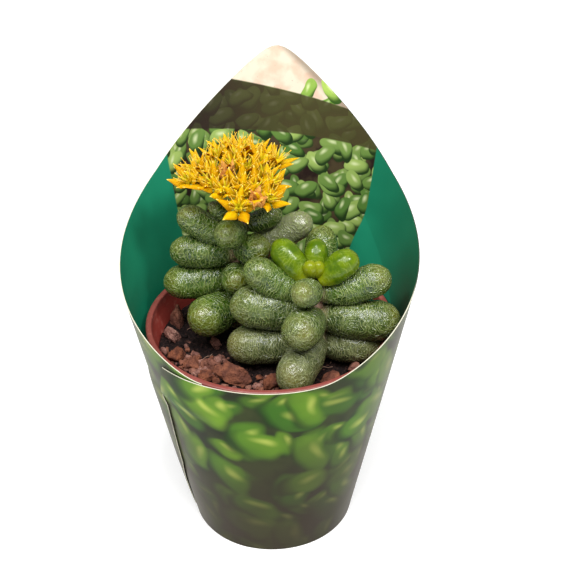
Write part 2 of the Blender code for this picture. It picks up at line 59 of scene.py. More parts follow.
# Lights: name, place, size in metres and power in watts, all aimed at the plant
LIGHT_TARGET = (0.0, 0.0, 0.06)
LIGHTS = (
    ("key", (0.02, -0.34, 0.74), 0.42, 4.6),
    ("glint_top", (-0.05, -0.12, 0.80), 0.08, 1.6),
    ("glint_left", (-0.30, -0.25, 0.62), 0.09, 1.9),
    ("glint_right", (0.30, -0.25, 0.62), 0.09, 1.9),
)
SKY_STRENGTH = 0.37
FLOOR_GLOW = 0.28
FLOOR_REACH = 2.5
FLOOR_DROP = 0.1 * MM

# Pot
RIM_RADIUS = 32.5 * MM
RIM_WIDTH = 1.6 * MM
RIM_DEPTH = 4.0 * MM
RIM_ROUNDING = 0.5 * MM
ROUNDING_POINTS = 5
POT_HEIGHT = 61.6 * MM
POT_BASE_RADIUS = 20.7 * MM
POT_SHOULDER_RADIUS = 31.3 * MM
POT_WALL = 0.9 * MM
POT_FLOOR = 1.2 * MM
POT_FOOT_HOLLOW = 0.9 * MM
POT_SEGMENTS = 160
DRAIN_HOLES = 6
DRAIN_HOLE_RADIUS = 2.0 * MM
DRAIN_CIRCLE_RADIUS = 12.0 * MM
DRAIN_HOLE_SIDES = 24

# Soil
SOIL_HEIGHT = 54.0 * MM
SOIL_CELL = 0.45 * MM
SOIL_RELIEF = 0.9 * MM
SOIL_COLUMNS = 360
SOIL_GAP = 0.3 * MM
LAVA_LIFT = 0.16
LAVA_SWELL = 1.15
LAVA_CRUMBS = 150
LAVA_SEED = 11
PEAT_CRUMBS = 420
PEAT_SEED = 12
CRUMB_MARGIN = 1.2 * MM
ROOT_HAIRS = 34
ROOT_HAIR_SEED = 13
ROOT_HAIR_RADIUS = 0.09 * MM
ROOT_HAIR_POINTS = 9
ROOT_HAIR_STEP = 0.6 * MM
ROOT_HAIR_MARGIN = 5 * MM

# Pieces of broken lava: place, length, breadth and height in millimetres, turn, and how pale each is
LAVA_PIECES = (
    (-24.9, 9.6, 5.6, 4.6, 8.6, 100, 0.3),
    (-26.0, 2.4, 6.8, 3.4, 4.8, -35, 1.0),
    (-14.4, -1.8, 2.8, 2.6, 4.6, 0, 0.8),
    (-24.4, -6.8, 5.4, 4.8, 5.4, 60, 0.0),
    (-20.0, -10.0, 5.4, 4.8, 4.8, 30, 0.1),
    (-15.2, -11.6, 5.6, 5.0, 4.6, 80, 0.3),
    (-16.6, -15.8, 4.6, 4.0, 3.8, 0, 0.0),
    (-10.2, -16.6, 10.6, 5.4, 6.4, -28, 0.1),
    (-0.4, -19.8, 5.6, 4.8, 5.0, 20, 0.0),
    (15.8, -18.6, 6.0, 4.4, 4.4, 30, 0.1),
    (21.4, -13.6, 4.6, 4.0, 4.0, 60, 0.5),
    (-16.0, 20.0, 6.2, 5.6, 4.6, 0, 0.6),
    (4.0, 23.6, 6.4, 5.6, 4.8, 50, 0.0),
    (19.0, 17.0, 6.0, 5.6, 4.6, 110, 0.3),
    (0.0, 12.0, 4.6, 4.2, 3.4, 0, 0.0),
)

# The pieces that small crumbs lie round
CRUMBLING_PIECES = LAVA_PIECES[3:9]

# Stems: points on the axis in millimetres, and radius
ROSETTE_STEM = ((12.6, -8.0, 43.0), (12.6, -8.0, 54.0), (12.1, -7.4, 66.0), (11.6, -6.8, 76.6))
FLOWERING_STEM = ((-9.0, 9.5, 43.0), (-9.0, 9.0, 54.0), (-8.6, 8.6, 74.0), (-6.2, 8.2, 87.6))
STEM_RADIUS = 2.0 * MM
STEM_ROWS = 90
STEM_SIDES = 28

# Leaves: height on the stem in millimetres, azimuth, tilt, length, thickness, upward curl
ROSETTE_TOP = (
    (73.0, 181, 11, 20.2, 8.2, 40),
    (73.6, 0, 3, 19.8, 8.6, 26),
    (74.5, -109, 22, 14.5, 6.9, 14),
    (72.8, 80, 22, 19.5, 8.4, 34),
)
ROSETTE_MIDDLE = (
    (68.0, 182, 6, 22.3, 10.8, 8),
    (67.0, -9, -4, 21.6, 10.5, 8),
    (67.0, -110, 12, 18.5, 9.8, 10),
    (66.0, 78, 8, 17.5, 9.5, 14),
    (70.2, 128, 4, 13.0, 8.0, 12),
    (64.5, 36, 2, 16.5, 9.0, 10),
)
ROSETTE_LOW = (
    (59.4, 186, 0, 23.6, 10.4, 4),
    (58.5, -5, 0, 16.8, 10.2, 6),
    (61.4, -113, -8, 21.5, 10.0, 6),
    (59.4, 82, 2, 17.0, 9.0, 8),
    (62.0, 132, 0, 13.5, 8.4, 6),
)
FLOWERING_TOP = (
    (80.0, 176, 19, 17.8, 7.4, 26),
    (83.0, -111, 20, 13.0, 7.6, 16),
    (85.5, 180, 30, 10.4, 3.8, 14),
    (85.0, 4, 10, 11.0, 5.6, 20),
    (84.0, 96, 10, 13.0, 6.6, 24),
)
FLOWERING_MIDDLE = (
    (76.6, -178, 2, 17.6, 8.2, 8),
    (78.0, -52, 18, 13.0, 8.0, 14),
    (77.0, 8, 14, 21.5, 7.4, 18),
    (75.0, 108, 4, 15.0, 8.0, 14),
    (70.6, -87, 12, 11.8, 8.2, 12),
)
FLOWERING_LOW = (
    (69.4, -173, -3, 19.2, 9.4, 4),
    (69.6, 34, 4, 17.0, 8.4, 10),
    (66.0, 122, 0, 15.5, 8.6, 8),
    (61.2, -123, 8, 19.4, 10.6, 12),
    (60.0, 70, 0, 15.0, 8.6, 8),
)

# Young leaves at the top of the rosette: the point that each grows from, then as above from azimuth on
YOUNG_LEAVES = (
    ((10.0, -8.0, 78.0), (143, 35, 13.2, 7.4, 8)),
    ((11.6, -7.2, 78.4), (80, 53, 9.8, 6.3, 10)),
    ((12.8, -8.2, 78.0), (7, 32, 11.6, 7.4, 14)),
)
BUD_LEAVES = (
    ((10.9, -7.6, 78.8), (-118, 72, 5.5, 4.2, 0)),
    ((12.0, -7.3, 78.8), (-72, 70, 5.4, 3.9, 0)),
)

# A leaf's radius at its root, where it is fullest, and how many radii its rounded end takes
LEAF_BASE = 0.45
LEAF_FULLEST = 0.5
LEAF_CAP = 1.25

# Net of wrinkles on the leaves, in millimetres: distance between rings, and width of ridges and pale lines
NET_SPACING = 0.92
OLD_NET_SPACING = 0.72
COARSE_NET_SPACING = 1.12
RIDGE_WIDTH = 0.22
LINE_WIDTH = 0.19

# Height of the net, and size of a leaf's faces
NET_HEIGHT = 0.16 * MM
YOUNG_NET_HEIGHT = 0.02 * MM
LEAF_CELL = 0.28 * MM
YOUNG_LEAF_CELL = 0.25 * MM

# Leaves painted paler grey-green, partly for a grey bloom and partly as painted light and sheen where they
# lie in shade: tier and place in it, and how much
PAINTED_LIGHT_AND_BLOOM_LEAVES = {
    ("flowering_leaves_middle", 2): 0.75,
    ("rosette_leaves_top", 2): 0.12,
    ("rosette_leaves_low", 1): 0.08,
    ("rosette_leaves_low", 2): 0.1,
}

# Flower head: stalks, dome and flowers, in millimetres
STALK_FOOT = (-6.1, 8.2, 88.5)
STALK_FORK = (-6.8, 8.4, 92.6)
STALK_RADIUS = 1.1
PEDICEL_RADIUS = 0.5
PEDICEL_KNEE = 0.55
PEDICEL_SAG = 1.2
HEAD_CENTRE = (-7.5, 8.0)
HEAD_HEIGHT = 100.0
HEAD_RADIUS = 13.0
HEAD_FALL = 0.012
HEAD_TILT = 0.22
HEAD_SPREAD = 24.0
HEAD_LEAN = 0.3
HEAD_SEED = 9
FLOWERS = (
    (-20.3, 7.4), (-18.9, 10.7), (-15.9, 5.8), (-16.6, 12.8), (-13.4, 3.9), (-13.7, 9.4),
    (-12.8, 16.6), (-10.6, 1.3), (-10.3, 20.2), (-8.7, 10.8), (-7.4, 15.7), (-6.1, 3.4),
    (-6.9, -4.0), (-6.6, -0.5), (-5.9, 19.8), (-4.6, 9.4), (-3.1, 17.0), (-2.5, 2.1),
    (-0.4, 7.8), (-0.5, 13.2), (1.2, -0.8), (1.9, 4.6), (3.3, 14.7),
)
WITHERED_FLOWERS = ((-9.9, 6.8), (-2.8, -2.5))
PETALS = 5
PETAL_LENGTH = 6.0
PETAL_WIDTH = 2.8
PETAL_ROWS = 12
PETAL_COLUMNS = 5
PETAL_THICKNESS = 0.16
WITHERED_THICKNESS = 0.2
STAMENS = 10
ANTHER_SIZE = (0.12, 0.12, 0.21)

# Seed cases: how far each stretch leans outward, and its length
SEED_CASE_STEPS = ((0.25, 1.3), (0.15, 1.2), (0.6, 1.2))

# How closely the fine flowers stand, as a share of their distance from the middle of the head
HEAD_GATHER = 0.92

# Card sleeve, a cone cut from one flat sheet
CARD = 0.25 * MM
SLEEVE_BASE_RADIUS = 22.0 * MM
SLEEVE_FLARE = 0.207
SLEEVE_SLANT = math.hypot(1, SLEEVE_FLARE)
SLEEVE_FRONT_HEIGHT = 63.3 * MM
SLEEVE_BACK_ANGLE = 4.5
SLEEVE_COLUMN = 2.0
SLEEVE_ROW_PARTS = 8
LAYER_OFFSET = 0.2 * MM
CUT_TIP_DISTANCE = 233.5 * MM
CUT_SLOPE = 0.97
CUT_TIP_ROUNDING = 0.0165
CUT_BULGE = 2.8 * MM
CUT_BULGE_FROM = 50.0
CUT_BULGE_TO = 165.0
CUT_EASING = 0.6 * MM

# Degrees on the flat sheet for each degree round the sleeve
UNROLLING = SLEEVE_FLARE / SLEEVE_SLANT

# Seam of the sleeve: height, angle of the free edge that shows, and how far it lifts
SEAM = (
    (0.06 * MM, -97.0, 0.0 * MM),
    (24.0 * MM, -118.5, 0.35 * MM),
    (47.6 * MM, -124.8, 0.2 * MM),
    (49.8 * MM, -122.0, 0.0 * MM),
    (51.9 * MM, -122.0, 0.0 * MM),
    (SLEEVE_FRONT_HEIGHT, -131.0, 0.0 * MM),
)
SEAM_CROSSING_ROW = 4
UPPER_TONGUE_END = -151.5
LOWER_TONGUE_END = -95.0
TONGUE_COLUMNS = 8

# Degrees of the sleeve beside its seam: full offset of the outer and inner end, fade, slanted columns
SEAM_OUTER_HOLD = 6.0
SEAM_INNER_HOLD = 30.0
SEAM_FADE = 30.0
SEAM_SLANT = 60.0

# Layers of printed beans, the last on top: size in millimetres, shift, turn, blur and strength
OUTSIDE_BEANS = (
    (15.0, (3.3, 7.1), 0.4, 0.9, 0.7),
    (17.0, (9.7, 2.4), 1.2, 0.8, 0.8),
    (14.0, (4.1, 9.4), 2.3, 0.8, 0.9),
    (18.0, (8.3, 6.1), 1.9, 0.8, 1.0),
    (22.0, (5.2, 4.9), 0.9, 0.7, 1.0),
    (19.0, (1.6, 3.2), 2.9, 0.7, 1.0),
)
PANEL_BEANS = (
    (6.0, (1.4, 8.2), 0.3, 0.35, 0.8),
    (7.0, (6.1, 3.7), 1.3, 0.30, 0.9),
    (7.5, (3.6, 5.9), 2.2, 0.25, 1.0),
    (9.0, (2.8, 0.9), 0.8, 0.22, 1.0),
    (8.2, (7.2, 4.4), 2.8, 0.22, 1.0),
)
TIP_BEANS = (
    (7.5, (3.6, 5.9), 2.2, 0.25, 1.0),
    (9.0, (7.7, 1.2), 0.4, 0.22, 1.0),
)
TIP_BEANS_FROM = 11.0

# Their colours: shade, middle, light and glint
OUTSIDE_PALETTE = ((0.008, 0.026, 0.003), (0.028, 0.105, 0.007), (0.138, 0.262, 0.016), (0.42, 0.48, 0.09))
PANEL_PALETTE = ((0.014, 0.034, 0.008), (0.070, 0.155, 0.028), (0.34, 0.46, 0.12), (0.66, 0.72, 0.40))
TIP_PALETTE = ((0.03, 0.08, 0.01), (0.12, 0.26, 0.03), (0.42, 0.58, 0.12), (0.72, 0.80, 0.40))


# Noise

def lattice(x, y, z, seed):
    """Repeatable random value from 0 to 1 at each whole-number point."""
    whole = np.uint64
    mask = whole(0xFFFFFFFF)
    mixed = x * whole(73856093) ^ y * whole(19349663) ^ z * whole(83492791)
    mixed = (mixed ^ whole(seed * 2654435761 + 97)) & mask
    for shift, factor in ((15, 2246822519), (13, 3266489917)):
        mixed = (mixed ^ (mixed >> whole(shift))) * whole(factor) & mask
    return (mixed ^ (mixed >> whole(16))).astype(float) / 0xFFFFFFFF


def smooth_noise(points, seed):
    """Smooth random value from 0 to 1 at each point, with a grain of one unit."""
    low = np.floor(points).T
    part = points.T - low
    part = part * part * (3 - 2 * part)
    corner = (low.astype(np.int64) + 100000).astype(np.uint64)
    total = np.zeros(len(points))
    for steps in itertools.product((0, 1), repeat=3):
        across, along, up = (share if step else 1 - share for share, step in zip(part, steps))
        x, y, z = (row + np.uint64(step) for row, step in zip(corner, steps))
        total += across * along * up * lattice(x, y, z, seed)
    return total


def rough_noise(points, seed, octaves):
    """Sum of smooth noises, each twice as fine and half as strong as the one before, about 0 to 1."""
    total = np.zeros(len(points))
    strength = 0.5
    for octave in range(octaves):
        total += strength * smooth_noise(points * 2 ** octave, seed + octave)
        strength /= 2
    return total / (1 - strength * 2)


# Meshes

def millimetres(point):
    return Vector(point) * MM


def mesh_object(name, points, faces, finishes, values=None, sharp_angle=None):
    """Smooth-shaded object from arrays, with values kept at its points."""
    mesh = bpy.data.meshes.new(name)
    mesh.from_pydata(np.asarray(points).tolist(), [], faces)
    for key, numbers in (values or {}).items():
        numbers = np.asarray(numbers, np.float32)
        kind, field = ("FLOAT", "value") if numbers.ndim == 1 else ("FLOAT_VECTOR", "vector")
        mesh.attributes.new(key, kind, "POINT").data.foreach_set(field, numbers.ravel())
    for finish in finishes:
        mesh.materials.append(finish)
    mesh.validate()
    mesh.shade_smooth()
    if sharp_angle is not None:
        mesh.set_sharp_from_angle(angle=math.radians(sharp_angle))
    made = bpy.data.objects.new(name, mesh)
    bpy.context.scene.collection.objects.link(made)
    return made


def grid_faces(rows, columns, closed):
    """Quads of a grid of points, row after row; a closed grid joins its last column to its first."""
    faces = []
    for low in range(0, (rows - 1) * columns, columns):
        high = low + columns
        for j in range(columns if closed else columns - 1):
            k = (j + 1) % columns
            faces.append((low + j, low + k, high + k, high + j))
    return faces


def turned_faces(rows, columns):
    """Closed grid of rings whose first and last are closed by fans round the last two points."""
    faces = grid_faces(rows, columns, True)
    centre = rows * columns
    last = centre - columns
    for j in range(columns):
        k = (j + 1) % columns
        faces += [(k, j, centre), (last + j, last + k, centre + 1)]
    return faces


def ring(radius, height, columns):
    """Points round the Z axis."""
    turns = np.arange(columns) * 2 * math.pi / columns
    return np.stack([radius * np.cos(turns), radius * np.sin(turns), np.full(columns, height)], 1)


def tube(path, radii, sides):
    """Points and faces of a closed round bar along a path."""
    points = []
    last = len(path) - 1
    across = None
    for i, point in enumerate(path):
        direction = (path[min(i + 1, last)] - path[max(i - 1, 0)]).normalized()
        if across is None:
            guide = Vector((0, 1, 0)) if abs(direction.y) < 0.9 else Vector((1, 0, 0))
            across = guide.cross(direction)
        across = (across - direction * across.dot(direction)).normalized()
        up = direction.cross(across)
        for k in range(sides):
            turn = 2 * math.pi * k / sides
            points.append(point + (across * math.cos(turn) + up * math.sin(turn)) * radii[i])
    faces = grid_faces(len(path), sides, True)
    faces.append(tuple(range(sides))[::-1])
    faces.append(tuple(range(last * sides, (last + 1) * sides)))
    return points, faces


def unit_sphere(detail):
    bm = bmesh.new()
    bmesh.ops.create_icosphere(bm, subdivisions=detail, radius=1.0)
    points = np.array([vert.co for vert in bm.verts])
    faces = [tuple(vert.index for vert in face.verts) for face in bm.faces]
    bm.free()
    return points, faces


class Heap:
    """Points, faces and values of many small shapes, gathered for one object."""

    def __init__(self):
        self.points = []
        self.faces = []
        self.values = {}
        self.count = 0

    def add(self, points, faces, **values):
        points = np.asarray(points, float)
        self.faces.extend(tuple(self.count + corner for corner in face) for face in faces)
        self.points.append(points)
        for key, value in values.items():
            if np.ndim(value) == 0:
                value = np.full(len(points), float(value))
            self.values.setdefault(key, []).append(value)
        self.count += len(points)

    def build(self, name, finish):
        values = {key: np.concatenate(parts) for key, parts in self.values.items()}
        return mesh_object(name, np.concatenate(self.points), self.faces, [finish], values)


def apply_modifiers(target):
    """Replace an object's mesh with the mesh that its modifiers make."""
    depsgraph = bpy.context.evaluated_depsgraph_get()
    mesh = bpy.data.meshes.new_from_object(target.evaluated_get(depsgraph))
    target.modifiers.clear()
    target.data = mesh


def place_piece(piece, node):
    """Say what a finished piece stands for."""
    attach(piece, "root")
    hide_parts(node)


# Material nodes

class Value:
    """Output of a node. Its arithmetic and its methods add the nodes that work the result out."""

    def __init__(self, tree, socket):
        self.tree = tree
        self.socket = socket

    def output(self, key):
        """Another output of the same node."""
        return Value(self.tree, self.socket.node.outputs[key])

    def combined(self, operation, first, second):
        kind = "VectorMath" if self.socket.type in ("VECTOR", "RGBA") else "Math"
        return add_node(kind, {0: first, 1: second}, operation=operation)

    def __add__(self, other):
        return self.combined("ADD", self, other)

    def __sub__(self, other):
        return self.combined("SUBTRACT", self, other)

    def __rsub__(self, other):
        return self.combined("SUBTRACT", other, self)

    def __mul__(self, other):
        return self.combined("MULTIPLY", self, other)

    def __truediv__(self, other):
        return self.combined("DIVIDE", self, other)

    def __pow__(self, other):
        return self.combined("POWER", self, other)

    def __abs__(self):
        return self.function("ABSOLUTE")

    def function(self, operation, other=0.5):
        """Another function of this number, or of it and a second one."""
        return add_node("Math", {0: self, 1: other}, operation=operation)

    def parts(self):
        """The three numbers of a vector or colour."""
        first = add_node("SeparateXYZ", {0: self})
        return [first.output(i) for i in range(3)]

    def span(self, low, high, to_low=0.0, to_high=1.0, smooth=True):
        """This number moved from one range to another, and held at the ends."""
        inputs = {"Value": self, "From Min": low, "From Max": high, "To Min": to_low, "To Max": to_high}
        kind = "SMOOTHSTEP" if smooth else "LINEAR"
        return add_node("MapRange", inputs, "Result", interpolation_type=kind)

    def grain(self, size, detail=3.0):
        """Noise over this place, with a grain of a size in its units."""
        return add_node("TexNoise", {"Vector": self, "Scale": 1 / size, "Detail": detail})

    def patches(self, size, detail=3.0):
        """Noise over this place with most of it near 0 or 1."""
        return self.grain(size, detail).span(0.35, 0.65)

    def warped(self, size, detail, reach):
        """This place pushed about a little by noise, so that straight shapes bend."""
        return self + (self.grain(size, detail).output("Color") - (0.5, 0.5, 0.5)) * reach


def put(socket, value):
    """Link an input to a value, or set it to a number, a vector or a colour."""
    if isinstance(value, Value):
        value.tree.links.new(value.socket, socket)
    elif socket.type == "RGBA":
        socket.default_value = (*value, 1.0)
    elif socket.type == "VECTOR" and np.ndim(value) == 0:
        socket.default_value = (value, value, value)
    else:
        socket.default_value = value


def add_node(kind, inputs, output=0, tree=None, **settings):
    """Add a node beside the values that go into it, and give one of its outputs."""
    tree = tree or next(value.tree for value in inputs.values() if isinstance(value, Value))
    made = tree.nodes.new("ShaderNode" + kind)
    for key, value in settings.items():
        setattr(made, key, value)
    for key, value in inputs.items():
        put(made.inputs[key], value)
    return Value(tree, made.outputs[output])


def mix(factor, first, second):
    """Colour between two colours; the node's colours are its inputs 6 and 7, and its output 2."""
    return add_node("Mix", {0: factor, 6: first, 7: second}, 2, data_type="RGBA")


def between(share, first, second):
    """Plain colour at a share of the way between two."""
    return tuple(low + (high - low) * share for low, high in zip(first, second))


def turned(vector, angle):
    """Vector turned about the Z axis, by an angle in radians."""
    return add_node("VectorRotate", {"Vector": vector, "Angle": angle}, rotation_type="Z_AXIS")


class Finish:
    """A material in the making: its nodes, its shader, and the place on the object."""

    def __init__(self, name, roughness, **settings):
        self.material = bpy.data.materials.new(name)
        self.material.use_nodes = True
        self.tree = self.material.node_tree
        self.shader = self.tree.nodes["Principled BSDF"]
        self.place = add_node("TexCoord", {}, "Object", self.tree)
        for key, value in {"Roughness": roughness, **settings}.items():
            put(self.shader.inputs[key.replace("_", " ")], value)

    def kept(self, name, output="Fac"):
        """Value that the mesh keeps at its points."""
        return add_node("Attribute", {}, output, self.tree, attribute_name=name)

    def done(self, colour, height=None, distance=0.0, strength=1.0):
        """Set the colour and the relief, and give the material."""
        put(self.shader.inputs["Base Color"], colour)
        if height is not None:
            relief = {"Height": height, "Distance": distance, "Strength": strength}
            put(self.shader.inputs["Normal"], add_node("Bump", relief))
        return self.material


# Pot

def pot_inner_radius(height):
    share = height / (POT_HEIGHT - RIM_DEPTH)
    return POT_BASE_RADIUS + (POT_SHOULDER_RADIUS - POT_BASE_RADIUS) * share - POT_WALL


def plastic_material():
    """Thin brick-red plastic with painted light along the top of its rim, dusty in places."""
    made = Finish("red_plastic", 0.42, Specular_IOR_Level=0.45)
    # Painted light: the top 2.5 mm of the rim is painted lighter than the walls below, where light falls on
    # it.
    rim = made.place.parts()[2].span(POT_HEIGHT - 2.5 * MM, POT_HEIGHT)
    body = mix(rim, (0.22, 0.030, 0.022), (0.20, 0.045, 0.036))
    dust = made.place.grain(1.6 * MM, 6.0).span(0.5, 0.8)
    return made.done(mix(dust * 0.6, body, (0.36, 0.13, 0.10)), made.place.grain(0.5 * MM), 0.05 * MM, 0.3)


def pot_profile():
    """Outline of the pot from the middle of its foot, up outside, over the rim and down inside."""
    rim_foot = POT_HEIGHT - RIM_DEPTH
    lip_inner = RIM_RADIUS - RIM_WIDTH
    profile = [
        (POT_BASE_RADIUS - 1.5 * MM, POT_FOOT_HOLLOW),
        (POT_BASE_RADIUS - 1.1 * MM, 0.0),
        (POT_BASE_RADIUS - 0.3 * MM, 0.0),
        (POT_BASE_RADIUS, 0.5 * MM),
        (POT_SHOULDER_RADIUS, rim_foot),
        (RIM_RADIUS - 0.2 * MM, rim_foot),
        (RIM_RADIUS, rim_foot + 0.3 * MM),
    ]
    turns = [math.pi / 2 * i / (ROUNDING_POINTS - 1) for i in range(ROUNDING_POINTS)]
    for turn in turns:
        inward = RIM_ROUNDING * (1 - math.cos(turn))
        profile.append((RIM_RADIUS - inward, POT_HEIGHT - RIM_ROUNDING * (1 - math.sin(turn))))
    for turn in turns:
        outward = RIM_ROUNDING * (1 - math.sin(turn))
        profile.append((lip_inner + outward, POT_HEIGHT - RIM_ROUNDING * (1 - math.cos(turn))))
    profile.append((lip_inner - 0.1 * MM, rim_foot + 0.6 * MM))
    for height in (rim_foot, 30 * MM, POT_FLOOR):
        profile.append((pot_inner_radius(height), height))
    return profile


def make_pot():
    """Turned pot with a rounded rim, and drain holes cut in its floor."""
    profile = pot_profile()
    rings = [ring(radius, height, POT_SEGMENTS) for radius, height in profile]
    points = np.concatenate([*rings, [(0.0, 0.0, POT_FOOT_HOLLOW), (0.0, 0.0, POT_FLOOR)]])
    faces = turned_faces(len(profile), POT_SEGMENTS)
    pot = mesh_object("plastic_pot", points, faces, [plastic_material()], sharp_angle=45)
    cut_drain_holes(pot)
    place_piece(pot, "pot")


def cut_drain_holes(pot):
    heap = Heap()
    for i in range(DRAIN_HOLES):
        turn = 2 * math.pi * i / DRAIN_HOLES
        place = Vector((math.cos(turn), math.sin(turn), 0)) * DRAIN_CIRCLE_RADIUS
        path = [place - millimetres((0, 0, 1)), place + millimetres((0, 0, 3))]
        heap.add(*tube(path, [DRAIN_HOLE_RADIUS] * 2, DRAIN_HOLE_SIDES))
    cutter = heap.build("drain_cutters", pot.data.materials[0])
    cut = pot.modifiers.new("Drain holes", "BOOLEAN")
    cut.operation = "DIFFERENCE"
    cut.object = cutter
    apply_modifiers(pot)
    bpy.data.objects.remove(cutter)


# Soil

def peat_material():
    """Dark crumbly peat, nearly black with brown fibres and pale bits."""
    made = Finish("peat", 0.8, Specular_IOR_Level=0.15)
    fibre = made.place.grain(0.6 * MM, 6.0).span(0.45, 0.75)
    colour = mix(fibre, (0.006, 0.003, 0.003), (0.032, 0.015, 0.012))
    pale = made.place.grain(1.9 * MM, 4.0).span(0.64, 0.74)
    return made.done(mix(pale, colour, (0.13, 0.055, 0.040)), made.place.grain(0.35 * MM, 6.0), 0.3 * MM)


def lava_material():
    """Broken porous lava, dull red to orange-brown with pale dusty faces and painted shade in its pores."""
    made = Finish("lava", 0.8, Specular_IOR_Level=0.15)
    patch = made.place.patches(2.4 * MM)
    dark = mix(patch, (0.085, 0.029, 0.018), (0.185, 0.062, 0.030))
    pale = mix(patch, (0.15, 0.066, 0.052), (0.27, 0.14, 0.11))
    # Painted shade: small dark spots stand for the shade inside the pores.
    pore_shade = made.place.grain(0.45 * MM, 4.0).span(0.52, 0.72)
    colour = mix(pore_shade, mix(made.kept("tint"), dark, pale), (0.06, 0.02, 0.014))
    return made.done(colour, made.place.grain(0.4 * MM, 6.0), 0.35 * MM)


def root_hair_material():
    made = Finish("root_hair", 0.7)
    return made.done(mix(made.place.grain(2 * MM), (0.30, 0.18, 0.12), (0.12, 0.06, 0.04)))


def soil_level(x, y):
    """Height of the peat's crumbly surface at each of many places."""
    points = np.stack([x, y, np.zeros(len(x))], 1) / MM
    broad = rough_noise(points / 7.0, 31, 3) - 0.5
    crumbs = rough_noise(points / 1.5, 35, 4) - 0.5
    return SOIL_HEIGHT + SOIL_RELIEF * (1.2 * broad + 1.6 * crumbs)


def soil_at(x, y):
    return soil_level(np.array([x]), np.array([y]))[0]


def make_peat(finish):
    """Root ball with a crumbly top, down to the pot's floor."""
    edge = pot_inner_radius(SOIL_HEIGHT) - 0.4 * MM
    rings = round(edge / SOIL_CELL)
    top = np.concatenate([ring(edge * i / rings, 0.0, SOIL_COLUMNS) for i in range(rings, 0, -1)])
    top[:, 2] = soil_level(top[:, 0], top[:, 1])
    foot_height = POT_FLOOR + SOIL_GAP
    foot = ring(pot_inner_radius(foot_height) - SOIL_GAP, foot_height, SOIL_COLUMNS)
    points = np.concatenate([foot, top, [(0.0, 0.0, foot_height), (0.0, 0.0, soil_at(0.0, 0.0))]])
    faces = turned_faces(rings + 1, SOIL_COLUMNS)
    place_piece(mesh_object("peat", points, faces, [finish]), "soil")


def broken_stone(sphere, centre, size, turn, draw, cuts, roughness):
    """Sphere with flat faces struck off it all round, roughened, pressed inside the pot."""
    points = sphere.copy()
    for _ in range(cuts):
        way = np.array([draw.gauss(0, 1), draw.gauss(0, 1), draw.gauss(0, 1)])
        way /= np.linalg.norm(way)
        depth = draw.uniform(0.45, 0.85)
        over = np.maximum(points @ way - depth, 0)
        points -= over[:, None] * way * 0.92
    points *= 1 + roughness * (rough_noise(points * 3.0, draw.randrange(1000), 4)[:, None] - 0.5)
    rotation = np.array(Matrix.Rotation(math.radians(turn), 3, "Z"))
    points = centre + (points * size / 2) @ rotation.T
    reach = np.hypot(points[:, 0], points[:, 1])
    limit = pot_inner_radius(points[:, 2]) - SOIL_GAP
    points[:, :2] *= np.minimum(1, limit / np.maximum(reach, 1e-9))[:, None]
    return points


def add_crumb(heap, ball, x, y, draw, sizes, longest, sink, tints, cuts, roughness):
    """Crumb of lava or peat, lying in the peat's surface."""
    sphere, faces = ball
    crumb = draw.uniform(*sizes) * MM
    centre = np.array([x, y, soil_at(x, y) + sink * crumb])
    size = crumb * np.array([draw.uniform(0.8, longest), draw.uniform(0.7, 1.0), draw.uniform(0.6, 1.0)])
    turn = draw.uniform(0, 360)
    tint = draw.choice(tints) if tints else 0.0
    heap.add(broken_stone(sphere, centre, size, turn, draw, cuts, roughness), faces, tint=tint)


def make_lava(finish):
    """The larger pieces of lava, and crumbs of it beside the broken ones."""
    draw = random.Random(LAVA_SEED)
    sphere, faces = unit_sphere(5)
    ball = unit_sphere(3)
    stones = Heap()
    for x, y, length, breadth, height, turn, tint in LAVA_PIECES:
        centre = np.array([x * MM, y * MM, SOIL_HEIGHT + LAVA_LIFT * height * MM])
        size = np.array([length, breadth, height]) * LAVA_SWELL * MM
        stones.add(broken_stone(sphere, centre, size, turn, draw, 16, 0.5), faces, tint=tint)
    for _ in range(LAVA_CRUMBS):
        x, y, length, *_ = draw.choice(CRUMBLING_PIECES)
        away = draw.uniform(0, 2 * math.pi)
        reach = length * draw.uniform(0.3, 0.95)
        x = (x + reach * math.cos(away)) * MM
        y = (y + reach * math.sin(away)) * MM
        if math.hypot(x, y) <= pot_inner_radius(SOIL_HEIGHT) - CRUMB_MARGIN:
            add_crumb(stones, ball, x, y, draw, (0.9, 2.8), 1.3, 0.15, (0.0, 0.2, 0.5, 0.9), 9, 0.6)
    place_piece(stones.build("lava_pieces", finish), "soil")


def make_crumbs(finish):
    """Loose crumbs of peat over the whole surface."""
    draw = random.Random(PEAT_SEED)
    ball = unit_sphere(2)
    crumbs = Heap()
    for _ in range(PEAT_CRUMBS):
        turn = draw.uniform(0, 2 * math.pi)
        reach = (pot_inner_radius(SOIL_HEIGHT) - CRUMB_MARGIN) * math.sqrt(draw.uniform(0, 1))
        x = reach * math.cos(turn)
        y = reach * math.sin(turn)
        add_crumb(crumbs, ball, x, y, draw, (0.5, 1.8), 1.5, 0.1, (), 6, 0.9)
    place_piece(crumbs.build("peat_crumbs", finish), "soil")


def make_root_hairs(finish):
    """A few fine pale root hairs that lie on the peat."""
    draw = random.Random(ROOT_HAIR_SEED)
    hairs = Heap()
    for _ in range(ROOT_HAIRS):
        turn = draw.uniform(0, 2 * math.pi)
        reach = (pot_inner_radius(SOIL_HEIGHT) - ROOT_HAIR_MARGIN) * math.sqrt(draw.uniform(0.1, 1))
        place = Vector((math.cos(turn), math.sin(turn), 0)) * reach
        way = draw.uniform(0, 2 * math.pi)
        path = []
        for _ in range(ROOT_HAIR_POINTS):
            path.append(Vector((place.x, place.y, soil_at(place.x, place.y) + draw.uniform(0.2, 0.7) * MM)))
            way += draw.uniform(-0.5, 0.5)
            place += Vector((math.cos(way), math.sin(way), 0)) * ROOT_HAIR_STEP
        hairs.add(*tube(path, [ROOT_HAIR_RADIUS] * len(path), 5))
    place_piece(hairs.build("root_hairs", finish), "soil")


# Stems and leaves

